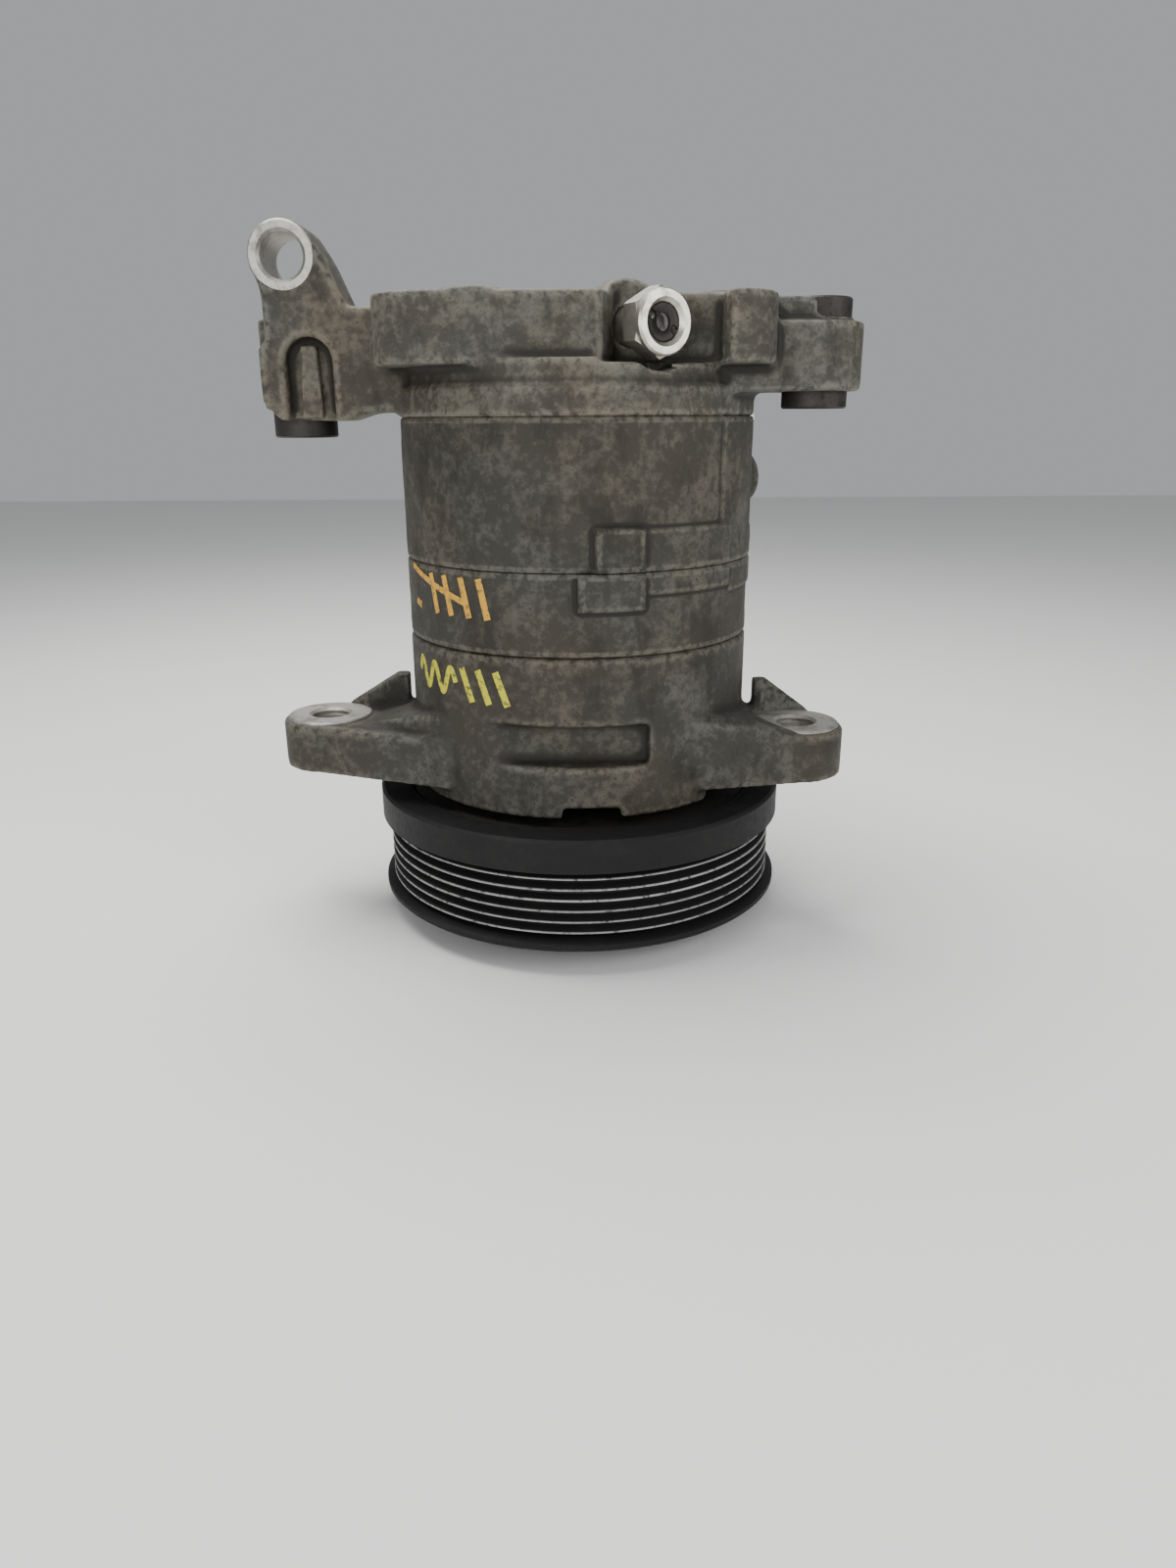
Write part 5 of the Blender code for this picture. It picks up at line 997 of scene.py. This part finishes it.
valveBody = buildValveBody(valveShape)
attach(valveBody, "housing")
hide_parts("relief_valve_body")
valveCage = buildCage(valveShape)
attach(valveCage, "housing")
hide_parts("relief_cage")

for label in ("left", "right"):
    low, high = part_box("rear_bush_" + label)
    centre = ((low[0] + high[0]) / 2 / mm, (low[1] + high[1]) / 2 / mm)
    bottom, top = low[2] / mm, high[2] / mm
    outline = [(6.9, bottom), (9.1, bottom), (9.6, bottom + 0.5), (9.6, top - 0.5),
               (9.1, top), (6.9, top), (6.3, top - 0.6), (6.3, bottom + 0.6)]
    bush = lathe("bush" + label.title(), outline, 72, centre)
    bush.data.materials.append(oiledSteel)
    edgeTone(bush, 0)
    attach(bush, "housing")
    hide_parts("rear_bush_" + label)
print("relief valve and bushes built")


# springs: the relief spring drawn as a coil, the leaf springs taken from the CAD nodes

springShape = {
    "Turns": 3.0, "Coil Radius": 2.9, "Wire Radius": 0.18, "Low": 4.08, "High": 6.42, "Points": 40,
    "freeLength": 2.7, "fixedEnd": 6.6,
}


def buildReliefSpring(shape):
    inputs = {label: value for label, value in shape.items() if label[0].isupper()}
    tree, ids, group = startTree("reliefSpring", inputs)
    given = group.outputs
    radii = {"Start Radius": given["Coil Radius"], "End Radius": given["Coil Radius"]}
    coil = treeNode(tree, "GeometryNodeCurveSpiral",
                    {"Resolution": given["Points"], "Rotations": given["Turns"], **radii})
    tree.links.new(treeCalc(tree, "SUBTRACT", given["High"], given["Low"]), coil.inputs["Height"])
    lift = treeNode(tree, "ShaderNodeCombineXYZ", {"Z": given["Low"]}).outputs[0]
    raised = treeNode(tree, "GeometryNodeSetPosition", {"Geometry": coil.outputs["Curve"], "Offset": lift})
    wire = treeNode(tree, "GeometryNodeCurvePrimitiveCircle", {"Resolution": 12})
    tree.links.new(given["Wire Radius"], wire.inputs["Radius"])
    drawn = treeNode(tree, "GeometryNodeCurveToMesh",
                     {"Curve": raised.outputs["Geometry"], "Profile Curve": wire.outputs["Curve"],
                      "Fill Caps": True})
    sized = treeNode(tree, "GeometryNodeTransform",
                     {"Geometry": drawn.outputs["Mesh"], "Scale": (mm, mm, mm)})
    return placeValve(grow("reliefSpring", tree, ids, inputs, sized.outputs["Geometry"], brightSteel))


reliefSpring = buildReliefSpring(springShape)
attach(reliefSpring, "housing")
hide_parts("relief_spring")
fixedEnd = bpy.data.objects.new("fixedEnd", bpy.data.meshes.new("fixedEnd"))
fixedEnd.data.from_pydata([(0.0, 0.0, springShape["fixedEnd"] * mm)], [], [])
anchor = tuple(placeValve(fixedEnd).data.vertices[0].co)
bpy.data.objects.remove(fixedEnd)
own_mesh(reliefSpring)


for number in ("1", "2", "3"):
    mesh = bmesh.new()
    mesh.from_mesh(nodes["leaf_spring_" + number].data)
    bmesh.ops.remove_doubles(mesh, verts=mesh.verts, dist=1e-6)
    data = bpy.data.meshes.new("leaf" + number)
    mesh.to_mesh(data)
    mesh.free()
    leaf = bpy.data.objects.new("leaf" + number, data)
    bpy.context.collection.objects.link(leaf)
    data.materials.append(brightSteel)
    data.set_sharp_from_angle(angle=math.radians(30.0))
    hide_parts("leaf_spring_" + number)
    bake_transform(leaf)
print("springs built")


# marker strokes, plain bars and waves

markShape = {
    "radius": 55.78, "flatness": 0.1, "pathPoints": 48,
    "orange": (0.62, 0.33, 0.03), "yellow": (0.55, 0.52, 0.015),
}


def strokeMaterial(name, colour):
    made, tree, shader, place = newMaterial(name)
    thin = ramp(tree, noise(tree, place, 520.0, 5.0, 0.7), 0.36, 0.52)
    shade = mixColour(tree, thin, (0.12, 0.10, 0.04), colour)
    feed(tree, shader, colour=shade, rough=0.62, normal=bumpy(tree, noise(tree, place, 1500.0), 0.2, 0.0002))
    return made


def buildStroke(name, start, end, width, look, sway=0.0, waves=0.0, shape=markShape):
    # start and end: degrees from the front, height
    inputs = {"Turn From": float(start[0]), "Turn To": float(end[0]), "Height From": float(start[1]),
              "Height To": float(end[1]), "Width": float(width), "Sway": float(sway), "Waves": float(waves),
              "Radius": shape["radius"], "Flatness": shape["flatness"], "Points": shape["pathPoints"]}
    tree, ids, group = startTree(name, inputs)
    given = group.outputs
    line = treeNode(tree, "GeometryNodeCurvePrimitiveLine", {"End": (0.0, 0.0, 1.0)})
    path = treeNode(tree, "GeometryNodeResampleCurve",
                    {"Curve": line.outputs["Curve"], "Count": given["Points"]})
    factor = treeNode(tree, "GeometryNodeSplineParameter").outputs["Factor"]
    degrees = treeRange(tree, factor, 0.0, 1.0, given["Turn From"], given["Turn To"])
    angle = treeCalc(tree, "RADIANS", degrees)
    phase = treeCalc(tree, "MULTIPLY", treeCalc(tree, "MULTIPLY", factor, given["Waves"]), 2 * math.pi)
    swing = treeCalc(tree, "MULTIPLY", treeCalc(tree, "SINE", phase), given["Sway"])
    climb = treeRange(tree, factor, 0.0, 1.0, given["Height From"], given["Height To"])
    height = treeCalc(tree, "ADD", climb, swing)
    x = treeCalc(tree, "MULTIPLY", given["Radius"], treeCalc(tree, "SINE", angle))
    forward = treeCalc(tree, "MULTIPLY", treeCalc(tree, "COSINE", angle), -1.0)
    y = treeCalc(tree, "MULTIPLY", given["Radius"], forward)
    spot = treeNode(tree, "ShaderNodeCombineXYZ", {"X": x, "Y": y, "Z": height}).outputs[0]
    laid = treeNode(tree, "GeometryNodeSetPosition", {"Geometry": path.outputs["Curve"], "Position": spot})
    nib = treeNode(tree, "GeometryNodeCurvePrimitiveCircle", {"Resolution": 16})
    tree.links.new(treeCalc(tree, "MULTIPLY", given["Width"], 0.5), nib.inputs["Radius"])
    drawn = treeNode(tree, "GeometryNodeCurveToMesh",
                     {"Curve": laid.outputs["Geometry"], "Profile Curve": nib.outputs["Curve"],
                      "Fill Caps": True})
    at = treeNode(tree, "ShaderNodeSeparateXYZ", {0: treeNode(tree, "GeometryNodeInputPosition").outputs[0]})
    squares = [treeCalc(tree, "MULTIPLY", at.outputs[n], at.outputs[n]) for n in (0, 1)]
    across = treeCalc(tree, "POWER", treeCalc(tree, "ADD", squares[0], squares[1]), 0.5)
    proud = treeCalc(tree, "SUBTRACT", across, given["Radius"])
    lifted = treeCalc(tree, "MULTIPLY", proud, given["Flatness"])
    pull = treeCalc(tree, "DIVIDE", treeCalc(tree, "ADD", given["Radius"], lifted), across)
    flat = treeNode(tree, "ShaderNodeCombineXYZ", {"X": treeCalc(tree, "MULTIPLY", at.outputs[0], pull),
                                                   "Y": treeCalc(tree, "MULTIPLY", at.outputs[1], pull),
                                                   "Z": at.outputs[2]}).outputs[0]
    flat = treeNode(tree, "ShaderNodeVectorMath", {0: flat, 1: (mm, mm, mm)}, operation="MULTIPLY").outputs[0]
    pressed = treeNode(tree, "GeometryNodeSetPosition", {"Geometry": drawn.outputs["Mesh"], "Position": flat})
    return grow(name, tree, ids, inputs, pressed.outputs["Geometry"], look)


orangeMark = strokeMaterial("orangeMark", markShape["orange"])
yellowMark = strokeMaterial("yellowMark", markShape["yellow"])
orangeStrokes = [buildStroke("orangeBar", (turn - 1.5, 118.2), (turn + 1.5, 106.4), 2.3, orangeMark)
                 for turn in (-51.0, -44.0, -36.5, -29.5)]
orangeStrokes.append(buildStroke("orangeLong", (-66.0, 119.2), (-36.0, 110.6), 1.9, orangeMark))
orangeStrokes.append(buildStroke("orangeDash", (-64.0, 108.6), (-60.0, 107.6), 2.2, orangeMark))
yellowStrokes = [buildStroke("yellowWave", (-64.0, 87.0), (-42.0, 86.0), 2.1, yellowMark, 4.0, 2.5)]
yellowStrokes += [buildStroke("yellowBar", (turn - 2.0, 91.0), (turn + 2.0, 80.8), 2.3, yellowMark)
                  for turn in (-37.0, -30.5, -24.0)]
for name, strokes in (("orangeStrokes", orangeStrokes), ("yellowStrokes", yellowStrokes)):
    mark = merge(name, strokes)
    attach(mark, "housing")
print("marker strokes drawn")


# floor, light and camera

stageShape = {
    "floorSize": 4000.0, "floorColour": (0.8, 0.8, 0.79), "floorShade": 0.96,
    "cameraAt": (2.994, -363.46, 162.435), "cameraTilt": 71.23, "cameraRoll": -0.31,
    "lens": 24.75,
}


def buildFloor(look):
    half = look["floorSize"] * mm / 2
    mesh = bpy.data.meshes.new("floor")
    corners = [(-half, -half, 0), (half, -half, 0), (half, half, 0), (-half, half, 0)]
    mesh.from_pydata(corners, [], [(0, 1, 2, 3)])
    floor = bpy.data.objects.new("floor", mesh)
    bpy.context.collection.objects.link(floor)
    paper, tree, shader, spot = newMaterial("floorPaper")
    shade = tuple(tone * look["floorShade"] for tone in look["floorColour"])
    tint = mixColour(tree, noise(tree, spot, 6.0, 3.0, 0.5), look["floorColour"], shade)
    feed(tree, shader, colour=tint, rough=0.85, specular=0.2)
    floor.data.materials.append(paper)
    return floor


def softLight(name, at, aim, size, power, colour=(1.0, 1.0, 1.0)):
    lamp = bpy.data.lights.new(name, "AREA")
    lamp.shape = "RECTANGLE"
    lamp.size, lamp.size_y = size[0] * mm, size[1] * mm
    lamp.energy = power
    lamp.color = colour
    holder = bpy.data.objects.new(name, lamp)
    holder.location = Vector(at) * mm
    holder.rotation_euler = (Vector(aim) - Vector(at)).to_track_quat("-Z", "Y").to_euler()
    bpy.context.collection.objects.link(holder)
    return holder


buildFloor(stageShape)
middle = (0.0, 0.0, 110.0)
softLight("overhead", (-160.0, 120.0, 760.0), middle, (620.0, 520.0), 9.0, (1.0, 0.99, 0.97))
softLight("sideFill", (560.0, -420.0, 360.0), middle, (420.0, 420.0), 2.6)
softLight("frontFill", (-260.0, -700.0, 260.0), middle, (520.0, 420.0), 2.6)

world = bpy.data.worlds.new("studio")
world.use_nodes = True
world.node_tree.nodes["Background"].inputs["Color"].default_value = (0.86, 0.88, 0.9, 1.0)
world.node_tree.nodes["Background"].inputs["Strength"].default_value = 0.45
bpy.context.scene.world = world

lens = bpy.data.cameras.new("camera")
lens.sensor_fit = "AUTO"
lens.sensor_width = 36.0
lens.lens = stageShape["lens"]
lens.clip_start = 0.01
camera = bpy.data.objects.new("camera", lens)
camera.location = Vector(stageShape["cameraAt"]) * mm
tilt = Matrix.Rotation(math.radians(stageShape["cameraTilt"]), 4, "X")
camera.rotation_euler = (tilt @ Matrix.Rotation(math.radians(stageShape["cameraRoll"]), 4, "Z")).to_euler()
bpy.context.collection.objects.link(camera)
bpy.context.scene.camera = camera

print("scene ready")
